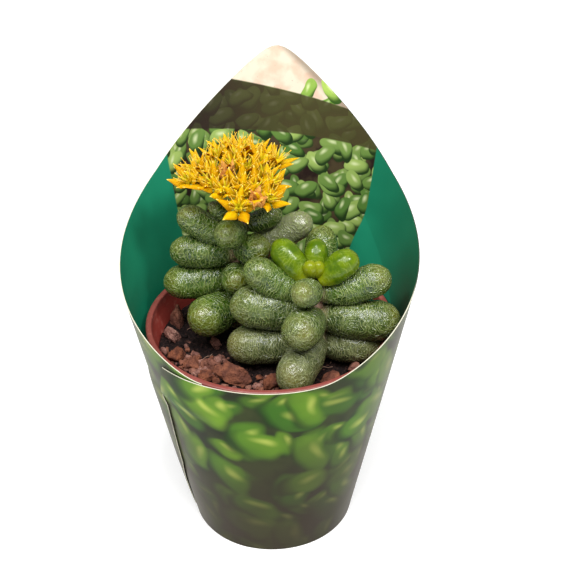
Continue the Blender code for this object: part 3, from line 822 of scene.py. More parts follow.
def on_path(points, height):
    """Point of an upward path at a given height."""
    for low, high in zip(points, points[1:]):
        if height <= high[2]:
            break
    share = (height - low[2]) / (high[2] - low[2])
    return millimetres(low).lerp(millimetres(high), share)


def stem_material():
    """Pinkish-tan bark, greenish in places."""
    made = Finish("stem_bark", 0.6, Subsurface_Weight=0.1)
    patch = made.place.grain(1.4 * MM, 5.0).span(0.35, 0.7)
    colour = mix(patch, (0.30, 0.155, 0.10), (0.56, 0.36, 0.26))
    green = made.place.grain(4 * MM, 2.0).span(0.5, 0.7)
    return made.done(mix(green, colour, (0.20, 0.20, 0.07)), made.place.grain(0.5 * MM, 5.0), 0.25 * MM)


def make_stem(name, path, node, leaves, finish):
    """Stem that tapers upward and swells where each leaf joins it."""
    foot = path[0][2]
    top = path[-1][2]
    heights = np.linspace(foot, top, STEM_ROWS)
    radii = []
    for height in heights:
        swelling = sum(math.exp(-((height - leaf[0]) / 0.7) ** 2) for leaf in leaves)
        taper = 1 - 0.24 * (height - foot) / (top - foot)
        radii.append(STEM_RADIUS * (taper + 0.12 * min(swelling, 1.5)))
    points, faces = tube([on_path(path, height) for height in heights], radii, STEM_SIDES)
    place_piece(mesh_object(name, points, faces, [finish]), node)


def leaf_radius(share, cap_start):
    """Radius of a plump leaf along its length, as a share of its greatest radius."""
    swell = np.minimum(share / LEAF_FULLEST, 1.0)
    body = LEAF_BASE + (1 - LEAF_BASE) * np.sin(swell * math.pi / 2)
    into_cap = np.clip((share - cap_start) / (1 - cap_start), 0, 1)
    return body * np.sqrt(1 - into_cap ** 2)


def leaf_rows(shape, root, cell):
    """Rows of a leaf's skin from root to tip: centres, directions and radii, and how far along each is."""
    azimuth, tilt, length, thickness, curl = shape
    radius = thickness * MM / 2
    length = length * MM
    cap_start = 1 - LEAF_CAP * radius / length
    body = np.linspace(0, cap_start, max(8, round(length * cap_start / cell)), endpoint=False)
    arc = np.linspace(0, math.pi / 2, max(6, round(radius * math.pi / 2 / cell)), endpoint=False)
    shares = np.concatenate([body, cap_start + (1 - cap_start) * np.sin(arc), [1.0]])
    tilts = np.radians(tilt + curl * shares)
    turn = math.radians(azimuth)
    ways = np.stack([np.cos(turn) * np.cos(tilts), np.sin(turn) * np.cos(tilts), np.sin(tilts)], 1)
    steps = (ways[1:] + ways[:-1]) / 2 * np.diff(shares)[:, None] * length
    centres = np.array(root) + np.concatenate([np.zeros((1, 3)), np.cumsum(steps, 0)])
    return centres, ways, radius * leaf_radius(shares, cap_start), shares, radius, length


def net_phases(place, ring_count, end, spacing, seed):
    """Three phases whose half-way values draw the net: two sets of wavy rings, and links between them."""
    over = ring_count + 0.9 * end * place[:, 1]
    under = ring_count + 0.9 * end * place[:, 2]
    place = place + 17.3 * seed
    broad = [smooth_noise(place / 3.8, seed + i) for i in range(2)]
    middle = [smooth_noise(place / 1.7, seed + 5 + i) for i in range(3)]
    fine = [smooth_noise(place / 0.8, seed + 10 + i) for i in range(3)]
    first = over / spacing + 2.6 * broad[0] + 1.8 * middle[0] + 0.7 * fine[0]
    second = under / (1.15 * spacing) + 3.2 * broad[1] + 2.0 * middle[1] + 0.7 * fine[1]
    links = (2.9 * smooth_noise(place / 1.9, seed + 20) + 1.1 * middle[2] + 0.5 * fine[2]) / spacing
    return np.stack([first, second, links], 1)


def net_strengths(place, seed):
    """How strongly each of the three phases is drawn, so that ridges fade out and others take over."""
    place = place + 17.3 * seed
    choice = smooth_noise(place / 1.9, seed + 30)
    weak = smooth_noise(place / 1.2, seed + 31)
    patchy = smooth_noise(place / 3.0, seed + 32)
    first = np.clip((choice - 0.32) * 5, 0, 1)
    second = np.clip((0.60 - choice) * 5, 0, 1)
    links = np.clip((weak - 0.30) * 4, 0, 0.95)
    fading = np.clip((0.88 - weak) * 3.5, 0.15, 1) * np.clip(0.35 + 1.3 * patchy, 0, 1)
    return np.stack([first * fading, second * fading, links * np.clip(0.45 + patchy, 0, 1)], 1)


def steepness(phases, rows, columns, row_steps, column_steps):
    """How fast each phase changes over the skin of a leaf, per millimetre."""
    grid = phases.reshape(rows, columns, 3)
    down = np.abs(np.gradient(grid, axis=0)) / row_steps[:, None, None]
    round_about = np.abs(np.roll(grid, -1, 1) - np.roll(grid, 1, 1)) / 2 / column_steps[:, None, None]
    return np.maximum(np.hypot(down, round_about), 0.25).reshape(-1, 3)


def add_leaf(heap, root, shape, seed, cell, spacing, relief, tint):
    """Club-shaped succulent leaf, slightly uneven, covered with a raised net of wrinkles."""
    centres, ways, radii, shares, radius, length = leaf_rows(shape, root, cell)
    azimuth = math.radians(shape[0])
    across = np.array([-math.sin(azimuth), math.cos(azimuth), 0.0])
    ups = np.cross(ways, across)
    rows = len(shares)
    columns = max(24, round(2 * math.pi * radius / cell))
    turns = np.arange(columns) * 2 * math.pi / columns
    outward = np.cos(turns)[None, :, None] * across + np.sin(turns)[None, :, None] * ups[:, None, :]

    skin_steps = np.hypot(np.diff(shares * length), np.diff(radii)) / MM
    arc = np.concatenate([[0], np.cumsum(skin_steps)])
    end = np.clip((shares - 1) * length / (LEAF_CAP * radius) + 1.15, 0, 1)
    ring_count = np.concatenate([[0], np.cumsum(skin_steps * (1 - 0.8 * end[1:]))])
    local_radius = np.repeat(radii, columns) / MM
    round_about = np.tile(turns, rows)
    place = np.stack([
        np.repeat(shares * length / MM, columns),
        local_radius * np.cos(round_about),
        local_radius * np.sin(round_about),
    ], 1)
    phases = net_phases(place, np.repeat(ring_count, columns), np.repeat(end, columns), spacing, seed)
    strengths = net_strengths(place, seed)
    column_steps = np.maximum(2 * math.pi * radii / MM / columns, 0.05)
    slopes = steepness(phases, rows, columns, np.gradient(arc), column_steps)
    away = np.abs(phases - np.floor(phases) - 0.5) / slopes
    ridges = (strengths * np.exp(-(away / RIDGE_WIDTH) ** 2)).max(1)

    swell = (rough_noise(place * 0.2 + seed, seed, 2) - 0.5) * 0.55 * MM
    swell += (smooth_noise(place * 0.9 + seed, seed + 9) - 0.5) * 0.12 * MM
    swell += (ridges - 0.35) * relief
    rounded = np.repeat(np.minimum(1, radii / radius * 1.6), columns)
    points = (centres[:, None, :] + outward * radii[:, None, None]).reshape(-1, 3)
    points += outward.reshape(-1, 3) * (swell * rounded)[:, None]

    tip = (rows - 1) * columns
    points = np.concatenate([points[:tip], [points[tip:].mean(0)]])
    faces = grid_faces(rows - 1, columns, True)
    faces += [(tip - columns + i, tip - columns + (i + 1) % columns, tip) for i in range(columns)]
    faces.append(tuple(range(columns))[::-1])
    values = {"net": phases, "steep": slopes, "strong": strengths, "along": np.repeat(shares, columns)}
    heap.add(points, faces, tint=tint, **{key: value[:tip + 1] for key, value in values.items()})


def net_of_wrinkles(made):
    """1 along the ridges of the net, 0 between them."""
    kept = [made.kept(name, "Vector").parts() for name in ("net", "steep", "strong")]
    lines = []
    for phase, slope, strength in zip(*kept):
        away = abs(phase.function("FRACT") - 0.5) / slope
        lines.append(away.span(LINE_WIDTH, 0.15 * LINE_WIDTH) * strength)
    return lines[0].function("MAXIMUM", lines[1]).function("MAXIMUM", lines[2])


def skin_cells(place, size):
    """1 along the edges of small uneven cells of a size in metres, 0 inside them."""
    inputs = {"Vector": place.warped(1.3 * size, 2.0, 0.9 * size), "Scale": 1 / size}
    return add_node("TexVoronoi", inputs, "Distance", feature="DISTANCE_TO_EDGE").span(0.11, 0.03)


def leaf_material(name, age, cell):
    """Dark green skin with a pale net of ridges, olive-brown tips and broken gloss."""
    made = Finish(
        name, 0.23, Specular_IOR_Level=0.8,
        Subsurface_Weight=0.06, Subsurface_Scale=1.5 * MM, Subsurface_Radius=(0.5, 1.0, 0.2),
    )
    along = made.kept("along")
    dark = between(age, (0.013, 0.043, 0.002), (0.034, 0.046, 0.011))
    light = between(age, (0.042, 0.090, 0.003), (0.070, 0.082, 0.024))
    skin = mix(made.place.patches(3.2 * MM, 4.0), dark, light)
    tip = along.span(0.70, 1.0) * made.place.grain(5 * MM, 2.0).span(0.35, 0.65, 0.15, 0.85)
    skin = mix(tip, skin, between(age, (0.125, 0.128, 0.007), (0.135, 0.112, 0.022)))
    # Painted light, partly bloom: the listed leaves are painted paler grey-green.
    skin = mix(made.kept("tint"), skin, (0.24, 0.25, 0.14))
    skin = mix(along.span(0.17, 0.04), skin, (0.36, 0.26, 0.15))
    rings = net_of_wrinkles(made) * along.span(0.7, 0.95, 1.0, 0.6)
    cells = skin_cells(made.place, cell) * along.span(0.7, 0.95, 0.35, 0.95)
    net = rings.function("MAXIMUM", cells)
    fine = made.place.grain(0.45 * MM, 4.0)
    line = net * fine.span(0.35, 0.58, 0.4, 1.0) * along.span(0.7, 0.95, 1.0, 0.85)
    pale = between(age, (0.24, 0.30, 0.085), (0.30, 0.31, 0.15))
    return made.done(mix(line, skin, pale), net + fine * 0.45, 0.17 * MM)


def young_leaf_material():
    """Smooth glossy yellow-green skin, yellow at the root, with a few fine wrinkles."""
    made = Finish(
        "young_leaf", 0.21, Specular_IOR_Level=0.27,
        Subsurface_Weight=0.2, Subsurface_Scale=2 * MM, Subsurface_Radius=(0.6, 1.0, 0.1),
    )
    along = made.kept("along")
    green = mix(made.place.patches(2.5 * MM, 4.0), (0.052, 0.104, 0.001), (0.105, 0.166, 0.002))
    skin = mix(along.span(0.02, 0.34), (0.22, 0.26, 0.004), green)
    skin = mix(along.span(0.9, 1.0, 0.0, 0.2), skin, (0.17, 0.17, 0.010))
    skin = mix(made.kept("tint") * 0.75, skin, (0.20, 0.225, 0.004))
    line = net_of_wrinkles(made) * made.place.grain(3.0 * MM, 2.0).span(0.42, 0.6, 0.0, 0.32)
    height = line + made.place.grain(0.5 * MM, 4.0) * 0.4
    return made.done(mix(line, skin, (0.30, 0.37, 0.07)), height, 0.05 * MM)


def make_leaves(name, node, path, leaves, finish, seed, spacing):
    """One tier of leaves, each rooted on the stem's axis."""
    heap = Heap()
    for i, (height, *shape) in enumerate(leaves):
        # How much this leaf is painted paler: partly bloom, partly painted light.
        tint = PAINTED_LIGHT_AND_BLOOM_LEAVES.get((name, i), 0.0)
        add_leaf(heap, on_path(path, height), shape, seed + 20 * i, LEAF_CELL, spacing, NET_HEIGHT, tint)
    place_piece(heap.build(name, finish), node)


def make_young_leaves(finish):
    heap = Heap()
    for i, (root, shape) in enumerate(YOUNG_LEAVES + BUD_LEAVES):
        is_bud = float(i >= len(YOUNG_LEAVES))
        seed = 700 + 20 * i
        add_leaf(heap, millimetres(root), shape, seed, YOUNG_LEAF_CELL, NET_SPACING, YOUNG_NET_HEIGHT, is_bud)
    place_piece(heap.build("young_leaves_fine", finish), "young_leaves")


# Flower head

def petal_material():
    """Golden petal, orange along its edges, pale at its tip."""
    made = Finish(
        "yellow_petal", 0.5, Specular_IOR_Level=0.08,
        Subsurface_Weight=0.45, Subsurface_Scale=1.0 * MM, Subsurface_Radius=(1.0, 0.6, 0.05),
    )
    along = made.kept("along")
    colour = mix(made.kept("tint"), (0.50, 0.255, 0.001), (0.60, 0.375, 0.002))
    colour = mix(made.kept("edge").span(0.55, 1.0, 0.0, 0.4), colour, (0.60, 0.21, 0.002))
    colour = mix(along.span(0.35, 0.0), colour, (0.66, 0.41, 0.002))
    colour = mix(along.span(0.86, 1.0, 0.0, 0.7), colour, (0.82, 0.60, 0.16))
    colour = mix(made.place.grain(1.2 * MM).span(0.58, 0.78, 0.0, 0.18), colour, (0.56, 0.21, 0.002))
    return made.done(colour, made.place.grain(0.3 * MM), 0.06 * MM, 0.5)


def withered_material():
    """Shrivelled orange-brown petal."""
    made = Finish("withered_petal", 0.7, Subsurface_Weight=0.1)
    colour = mix(made.place.patches(1.1 * MM, 5.0), (0.50, 0.19, 0.025), (0.70, 0.34, 0.055))
    dark = made.place.grain(0.8 * MM, 5.0).span(0.62, 0.75)
    return made.done(mix(dark, colour, (0.34, 0.10, 0.02)), made.place.grain(0.5 * MM, 5.0), 0.25 * MM)


def flower_part_material(name, low, high, roughness):
    """Two colours in patches, for the small parts of a flower."""
    made = Finish(name, roughness, Subsurface_Weight=0.1, Specular_IOR_Level=0.2)
    return made.done(mix(made.place.patches(1.5 * MM), low, high), made.place.grain(0.4 * MM), 0.08 * MM, 0.6)


class Flower:
    """Where a flower stands and faces, and how its parts are turned about that direction."""

    def __init__(self, centre, facing, turn):
        self.centre = centre
        self.facing = facing
        self.side = facing.cross(Vector((math.cos(turn), math.sin(turn), 0))).normalized()
        self.other = facing.cross(self.side)

    def out(self, part, parts, shake=0.0):
        """Direction away from the axis of one of the parts that stand in a ring."""
        turn = 2 * math.pi * part / parts + shake
        return self.side * math.cos(turn) + self.other * math.sin(turn)


def petal_half_width(share):
    """Half the width of a petal along its length, as a share of its greatest half width."""
    if share < 0.31:
        return math.sin(math.pi * min(1.0, 0.16 + 1.1 * share))
    return max(1 - ((share - 0.3) / 0.7) ** 1.25, 0.03)


def add_petal(heap, flower, out, length, draw, rise, crumple):
    """Lance-shaped petal that stands up, spreads outward and is channelled along its middle."""
    side = flower.facing.cross(out).normalized()
    width = PETAL_WIDTH * MM * draw.uniform(0.85, 1.1)
    bend = draw.uniform(0.35, 0.95)
    twist = draw.uniform(-0.35, 0.35)
    sway = draw.uniform(-0.25, 0.25)
    settled = min(0.55, 1.1 * rise - 0.62)
    points = []
    values = []
    point = flower.centre + out * 0.4 * MM
    for i in range(PETAL_ROWS):
        share = i / (PETAL_ROWS - 1)
        lift = rise - (rise - settled) * bend * share
        way = (out * math.cos(lift) + flower.facing * math.sin(lift) + side * sway * share).normalized()
        if i:
            point = point + way * length / (PETAL_ROWS - 1)
        normal = side.cross(way).normalized()
        half = width / 2 * petal_half_width(share)
        lateral = side * math.cos(twist * share) + normal * math.sin(twist * share)
        for j in range(PETAL_COLUMNS):
            offset = j / (PETAL_COLUMNS - 1) * 2 - 1
            channel = normal * abs(offset) ** 1.5 * half * 0.75
            jitter = Vector([draw.uniform(-1, 1) for _ in range(3)]) * crumple * MM
            points.append(point + lateral * offset * half + channel + jitter)
            values.append((share, abs(offset)))
    along, edge = np.array(values).T
    faces = grid_faces(PETAL_ROWS, PETAL_COLUMNS, False)
    heap.add(points, faces, along=along, edge=edge, tint=draw.random())


def add_shoot(heap, foot, steps, radii, sides):
    """Tapered shoot from a foot along steps, each a direction and a length in millimetres; gives its end."""
    path = [foot]
    for way, length in steps:
        path.append(path[-1] + way.normalized() * length * MM)
    heap.add(*tube(path, [radius * MM for radius in radii], sides))
    return path[-1]


def add_stamens(threads, anthers, flower, draw, ball):
    """Ring of stamens, each a thin thread with an anther on its end."""
    sphere, faces = ball
    for i in range(STAMENS):
        out = flower.out(i + 0.5, STAMENS, draw.uniform(-0.15, 0.15))
        half = draw.uniform(3.8, 5.4) / 2
        steps = ((flower.facing + out * 0.35, half), (flower.facing + out * draw.uniform(0.3, 0.8), half))
        end = add_shoot(threads, flower.centre + out * 0.6 * MM, steps, (0.12, 0.11, 0.06), 6)
        anthers.add(np.array(end) + sphere * ANTHER_SIZE * MM, faces)


def add_carpels(heap, flower):
    """Upright pointed seed cases in the middle of a flower."""
    for i in range(PETALS):
        out = flower.out(i, PETALS)
        steps = [(flower.facing + out * lean, length) for lean, length in SEED_CASE_STEPS]
        add_shoot(heap, flower.centre + out * 0.45 * MM, steps, (0.45, 0.60, 0.28, 0.07), 8)


def add_calyx(heap, flower):
    """Cup of small green lobes under a flower."""
    for i in range(PETALS):
        out = flower.out(i + 0.5, PETALS)
        steps = ((out + flower.facing * 0.5, 1.2), (out * 0.8 + flower.facing, 1.2))
        add_shoot(heap, flower.centre - flower.facing * 0.8 * MM, steps, (0.5, 0.55, 0.12), 8)


def make_flower_head():
    """Domed head of yellow flowers on thin stalks that fork from one."""
    draw = random.Random(HEAD_SEED)
    petals, withered, threads, anthers, cases, stalks = (Heap() for _ in range(6))
    ball = unit_sphere(2)
    foot = millimetres(STALK_FOOT)
    fork = millimetres(STALK_FORK)
    stalks.add(*tube([foot, foot.lerp(fork, 0.5), fork], [STALK_RADIUS * MM] * 3, 16))
    for place in FLOWERS + WITHERED_FLOWERS:
        away = Vector((place[0] - HEAD_CENTRE[0], place[1] - HEAD_CENTRE[1], 0)) * HEAD_GATHER
        height = HEAD_HEIGHT - HEAD_FALL * away.length_squared + HEAD_TILT * away.y
        centre = millimetres((HEAD_CENTRE[0] + away.x, HEAD_CENTRE[1] + away.y, height))
        facing = (away / HEAD_SPREAD + Vector((0, -HEAD_LEAN, 1))).normalized()
        knee = fork.lerp(centre, PEDICEL_KNEE) - millimetres((0, 0, PEDICEL_SAG))
        stalks.add(*tube([fork, knee, centre], [PEDICEL_RADIUS * MM] * 3, 10))
        flower = Flower(centre, facing, draw.uniform(0, 2 * math.pi))
        add_calyx(stalks, flower)
        is_withered = place in WITHERED_FLOWERS
        for i in range(PETALS):
            out = flower.out(i, PETALS, draw.uniform(-0.15, 0.15))
            length = PETAL_LENGTH * MM * draw.uniform(0.88, 1.08)
            if is_withered:
                add_petal(withered, flower, out, length * 0.9, draw, 1.5, 0.14)
            else:
                rise = 1.12 - 0.35 * away.length / HEAD_RADIUS + draw.uniform(-0.15, 0.15)
                add_petal(petals, flower, out, length, draw, rise, 0.02)
        if not is_withered:
            add_stamens(threads, anthers, flower, draw, ball)
            add_carpels(cases, flower)
    pieces = [
        thickened(petals.build("petals", petal_material()), PETAL_THICKNESS * MM),
        thickened(withered.build("withered_petals", withered_material()), WITHERED_THICKNESS * MM),
    ]
    for heap, name, finish_name, low, high, roughness in (
        (threads, "stamen_threads", "filament", (0.62, 0.36, 0.008), (0.76, 0.52, 0.06), 0.5),
        (anthers, "anthers", "anther", (0.74, 0.40, 0.01), (0.84, 0.56, 0.04), 0.7),
        (cases, "seed_cases", "seed_case", (0.62, 0.42, 0.004), (0.46, 0.40, 0.008), 0.45),
        (stalks, "flower_stalks", "flower_stalk", (0.16, 0.21, 0.03), (0.30, 0.30, 0.06), 0.4),
    ):
        pieces.append(heap.build(name, flower_part_material(finish_name, low, high, roughness)))
    for piece in pieces:
        place_piece(piece, "flower_head")


def thickened(piece, thickness):
    skin = piece.modifiers.new("Thickness", "SOLIDIFY")
    skin.thickness = thickness
    skin.offset = 0.0
    apply_modifiers(piece)
    return piece


# Card sleeve

def cut_height(angle):
    """Height of the sleeve's cut edge at an angle counted from the middle of its back."""
    away = abs(angle - SLEEVE_BACK_ANGLE)
    flat_angle = math.radians(away) * UNROLLING
    sideways = math.hypot(math.sin(flat_angle), CUT_TIP_ROUNDING)
    distance = CUT_TIP_DISTANCE / (math.cos(flat_angle) + CUT_SLOPE * sideways)
    if CUT_BULGE_FROM < away < CUT_BULGE_TO:
        bulge_span = CUT_BULGE_TO - CUT_BULGE_FROM
        distance += CUT_BULGE * math.sin(math.pi * (away - CUT_BULGE_FROM) / bulge_span)
    above_front = distance / SLEEVE_SLANT - SLEEVE_BASE_RADIUS / SLEEVE_FLARE - SLEEVE_FRONT_HEIGHT
    return SLEEVE_FRONT_HEIGHT + above_front / 2 + math.hypot(above_front / 2, CUT_EASING)


class Card:
    """The card as it is rolled up: a column of points at a time, each on every row that it has."""

    def __init__(self):
        self.points = []
        self.places = []
        self.columns = []

    def column(self, angles, offsets, first_row, last_row):
        """Column through the seam's rows, each stretch between two rows split evenly."""
        made = {}
        for step in range(first_row * SLEEVE_ROW_PARTS, last_row * SLEEVE_ROW_PARTS + 1):
            row = min(step // SLEEVE_ROW_PARTS, last_row - 1)
            share = step / SLEEVE_ROW_PARTS - row
            angle = angles[row] + (angles[row + 1] - angles[row]) * share
            offset = offsets[row] + (offsets[row + 1] - offsets[row]) * share
            high = cut_height(angle) if row + 2 == len(SEAM) else SEAM[row + 1][0]
            height = SEAM[row][0] + (high - SEAM[row][0]) * share
            made[step] = len(self.points)
            radius = SLEEVE_BASE_RADIUS + SLEEVE_FLARE * height + offset
            turn = math.radians(angle)
            self.points.append((radius * math.sin(turn), radius * math.cos(turn), height))
            self.places.append((angle, height / MM, 0.0))
        self.columns.append(made)

    def faces(self):
        made = []
        for left, right in zip(self.columns, self.columns[1:]):
            rows = sorted(set(left) & set(right))
            for low, high in zip(rows, rows[1:]):
                made.append((left[low], right[low], right[high], left[high]))
        return made


def roll_card():
    """Once round, with the two ends that hook through each other at the seam."""
    card = Card()
    last_row = len(SEAM) - 1
    layers = [LAYER_OFFSET if row < SEAM_CROSSING_ROW else -LAYER_OFFSET for row in range(len(SEAM))]
    for i in range(TONGUE_COLUMNS):
        share = i / TONGUE_COLUMNS
        angles = [UPPER_TONGUE_END + (row[1] - UPPER_TONGUE_END) * share for row in SEAM]
        card.column(angles, layers, SEAM_CROSSING_ROW, last_row)
    base_angle = SEAM[0][1]
    for i in range(round(360 / SLEEVE_COLUMN) + 1):
        from_start = i * SLEEVE_COLUMN
        from_end = 360 - from_start
        start_share = max(0.0, 1 - max(from_start - SEAM_OUTER_HOLD, 0) / SEAM_FADE)
        end_share = max(0.0, 1 - max(from_end - SEAM_INNER_HOLD, 0) / SEAM_FADE)
        slant_share = max(0.0, 1 - min(from_start, from_end) / SEAM_SLANT)
        angles = [base_angle + from_start + (row[1] - base_angle) * slant_share for row in SEAM]
        offsets = [
            layer * (start_share - end_share) + row[2] * start_share ** 2
            for layer, row in zip(layers, SEAM)
        ]
        card.column(angles, offsets, 0, last_row)
    for i in range(1, TONGUE_COLUMNS + 1):
        share = i / TONGUE_COLUMNS
        angles = [360 + row[1] + (LOWER_TONGUE_END - row[1]) * share for row in SEAM]
        card.column(angles, [-layer for layer in layers], 0, SEAM_CROSSING_ROW - 1)
    return card


def bean_group():
    """Node group for one layer of plump bean shapes, strewn over a plane at random slants."""
    tree = bpy.data.node_groups.new("bean_layer", "ShaderNodeTree")
    for way, kind, names in (
        ("INPUT", "Vector", ("Place", "Shift")),
        ("INPUT", "Float", ("Size", "Turn", "Blur")),
        ("OUTPUT", "Float", ("Mask", "Light", "Glint", "Tint")),
        ("OUTPUT", "Vector", ("Centre",)),
    ):
        for name in names:
            tree.interface.new_socket(name, in_out=way, socket_type="NodeSocket" + kind)
    entry = tree.nodes.new("NodeGroupInput").outputs
    given, shift, size, turn, blur = (Value(tree, entry[i]) for i in range(5))

    place = turned(given, turn) / size + shift
    inputs = {"Vector": place, "Scale": 1.0, "Randomness": 0.34}
    middle = add_node("TexVoronoi", inputs, "Position", voronoi_dimensions="2D")
    slant_chance, tint, bow_chance = middle.output("Color").parts()
    local = place - middle
    slant = slant_chance.span(0.0, 1.0, -1.6, 1.6, False)

    x, y, _ = turned(local, slant).parts()
    bow = x ** 2.0 * bow_chance.span(0.0, 1.0, -0.45, 0.45, False)
    breadth = x.span(-0.45, 0.45, 0.21, 0.31, False)
    reach = abs(x / 0.45) ** 2.6 + abs((y + bow) / breadth) ** 2.1

    upright = turned(local, turn * -1.0)
    across, upward, _ = upright.parts()
    thickness = reach.span(1.0, 0.0, smooth=False).function("SQRT")
    light = thickness * 0.72 + (upward * 1.5 + across * -0.7)
    glint_place = local - turned((-0.05, 0.10, 0.0), turn)
    streak = turned(glint_place, slant) * (0.55, 1.3, 0.0)
    glint = add_node("VectorMath", {0: streak}, "Value", operation="LENGTH")

    leave = tree.nodes.new("NodeGroupOutput").inputs
    put(leave["Mask"], reach.span(1.0, 1.0 - blur))
    put(leave["Light"], light.span(0.0, 1.0))
    put(leave["Glint"], glint.span(0.13, 0.0))
    put(leave["Tint"], tint)
    put(leave["Centre"], given - upright * size)
    return tree


def strew_beans(beans, place, ground, layers, palette, right_of=None):
    """Lay bean layers over a ground colour, the last one on top, or only the beans right of a place."""
    dark, middle, bright, glint = palette
    colour = ground
    for size, shift, turn, blur, strength in layers:
        inputs = {"Place": place, "Size": size, "Shift": (*shift, 0.0), "Turn": turn, "Blur": blur}
        mask = add_node("Group", inputs, "Mask", node_tree=beans)
        light = mask.output("Light")
        lit = mix(mask.output("Tint"), middle, bright)
        skin = mix(light.span(0.0, 0.45, smooth=False), dark, mix(0.45, lit, middle))
        skin = mix(light.span(0.4, 0.9, 0.0, 0.9, False), skin, lit)
        skin = mix(mask.output("Glint") * 0.7, skin, glint)
        weight = mask * strength
        if right_of is not None:
            weight = weight * mask.output("Centre").parts()[0].function("GREATER_THAN", right_of)
        colour = mix(weight, colour, skin)
    return colour


def flat_place(made):
    """Place on the card as it lay flat, in millimetres with y up, and its angle and height when rolled."""
    angle, height, _ = made.kept("place", "Vector").parts()
    flat_angle = angle * (math.radians(1) * UNROLLING)
    distance = (height + SLEEVE_BASE_RADIUS / SLEEVE_FLARE / MM) * SLEEVE_SLANT
    inputs = {0: distance * flat_angle.function("SINE"), 1: distance * flat_angle.function("COSINE")}
    return add_node("CombineXYZ", inputs), angle, height


def outside_material(beans):
    """Printed outside: soft green bean shapes that fade into brown at the foot, and grey at the sides that is
    partly print and partly a painted reflection.
    """
    made = Finish("sleeve_outside", 0.42, Specular_IOR_Level=0.07)
    flat, angle, height = flat_place(made)
    picture = mix(flat.grain(16.0).span(0.4, 0.6), (0.010, 0.014, 0.005), (0.030, 0.040, 0.010))
    picture = strew_beans(beans, flat.warped(12.0, 1.0, 6.0), picture, OUTSIDE_BEANS, OUTSIDE_PALETTE)
    dull = (flat + (40.0, 0.0, 0.0)).grain(22.0).span(0.42, 0.62, 0.0, 0.4)
    picture = mix(dull, picture, (0.030, 0.036, 0.012))
    foot = (height + flat.grain(18.0, 2.0) * 18.0).span(62.0, 17.0)
    picture = mix(foot * 0.92, picture, (0.031, 0.021, 0.013))
    from_front = abs(abs(angle) - 180.0)
    # Grey towards the sides: partly the print, partly a painted reflection of the pale surroundings on the
    # glossy card.
    side_print_and_reflection = from_front.span(38.0, 68.0) * from_front.span(108.0, 74.0)
    grey = mix(flat.patches(9.0), (0.088, 0.076, 0.060), (0.118, 0.104, 0.083))
    return made.done(mix(side_print_and_reflection * 0.72, picture, grey), made.place.grain(0.4 * MM, 4.0), 0.02 * MM, 0.4)


def above_line(flat, start, slope, blur=0.25):
    """1 above a line across the flat card, given by its height at the middle and its slope."""
    x, y, _ = flat.parts()
    return (y - (x * slope + start)).span(-blur, blur)


def from_right_edge(flat):
    """Distance in millimetres from the straight cut to the right of the tip."""
    tilt = math.radians(SLEEVE_BACK_ANGLE) * UNROLLING
    length = math.hypot(1, CUT_SLOPE)
    across = (CUT_SLOPE * math.cos(tilt) + math.sin(tilt)) / length
    upward = (math.cos(tilt) - CUT_SLOPE * math.sin(tilt)) / length
    reach = add_node("VectorMath", {0: flat, 1: (across, upward, 0.0)}, "Value", operation="DOT_PRODUCT")
    return CUT_TIP_DISTANCE / MM / length - reach


def teal_paint(flat, angle, height):
    """Teal of the inside, with painted shade towards the right and below, and painted light on a lighter
    facet beside a crease.
    """
    teal = mix(flat.patches(20.0, 2.0), (0.008, 0.165, 0.088), (0.011, 0.205, 0.110))
    # Painted shade: darker towards the right.
    teal = mix(angle.span(40.0, 100.0, 0.0, 0.6), teal, (0.014, 0.085, 0.040))
    # Painted shade: darker low on the right.
    low_right_shade = angle.span(50.0, 95.0) * height.span(84.0, 56.0)
    teal = mix(low_right_shade * 0.95, teal, (0.026, 0.048, 0.026))
    # Painted light: a lighter facet beside a crease.
    beside_crease = 1.0 - above_line(flat, 228.5, -1.5, 0.35)
    facet = beside_crease * angle.span(40.0, 42.0) * height.span(50.0, 62.0)
    return mix(facet * 0.45, teal, (0.014, 0.25, 0.140))


def tip_paint(beans, bent, flat):
    """Pale sand of the tip, with a few beans at its right and painted shade along its right edge."""
    sand = mix(flat.grain(5.0).span(0.40, 0.65), (0.70, 0.60, 0.47), (0.66, 0.47, 0.35))
    sand = mix(flat.grain(0.8, 2.0).span(0.68, 0.76, 0.0, 0.6), sand, (0.22, 0.17, 0.14))
    # Painted shade: darker along the straight cut to the right of the tip.
    sand = mix(from_right_edge(flat).span(3.4, 0.8, 0.0, 0.8), sand, (0.24, 0.19, 0.14))
    return strew_beans(beans, bent, sand, TIP_BEANS, TIP_PALETTE, TIP_BEANS_FROM)


def inside_material(beans):
    """Inside: plain teal, and on the back a picture of green beans under a bare dark band."""
    made = Finish("sleeve_inside", 0.45, Specular_IOR_Level=0.16)
    flat, angle, height = flat_place(made)
    bent = flat.warped(5.0, 1.0, 1.8)
    picture = mix(flat.grain(6.0).span(0.4, 0.6), (0.018, 0.010, 0.008), (0.055, 0.040, 0.020))
    picture = strew_beans(beans, bent, picture, PANEL_BEANS, PANEL_PALETTE)
    band_top = above_line(flat, 218.9, -0.24)
    picture = mix(band_top, picture, tip_paint(beans, bent, flat))
    shadow = mix(angle.span(-28.0, 14.0), (0.024, 0.015, 0.011), (0.052, 0.045, 0.016))
    band = above_line(flat, 206.3, -0.10) * (1.0 - band_top)
    picture = mix(band, picture, mix(0.93, picture, shadow))
    right_edge = height.span(64.0, 80.0, 39.5, 45.3)
    panel = angle.span(-40.3, -39.7) * (angle - right_edge).span(0.3, -0.3)
    colour = mix(panel, teal_paint(flat, angle, height), picture)
    return made.done(colour, made.place.grain(0.4 * MM, 4.0), 0.02 * MM, 0.4)


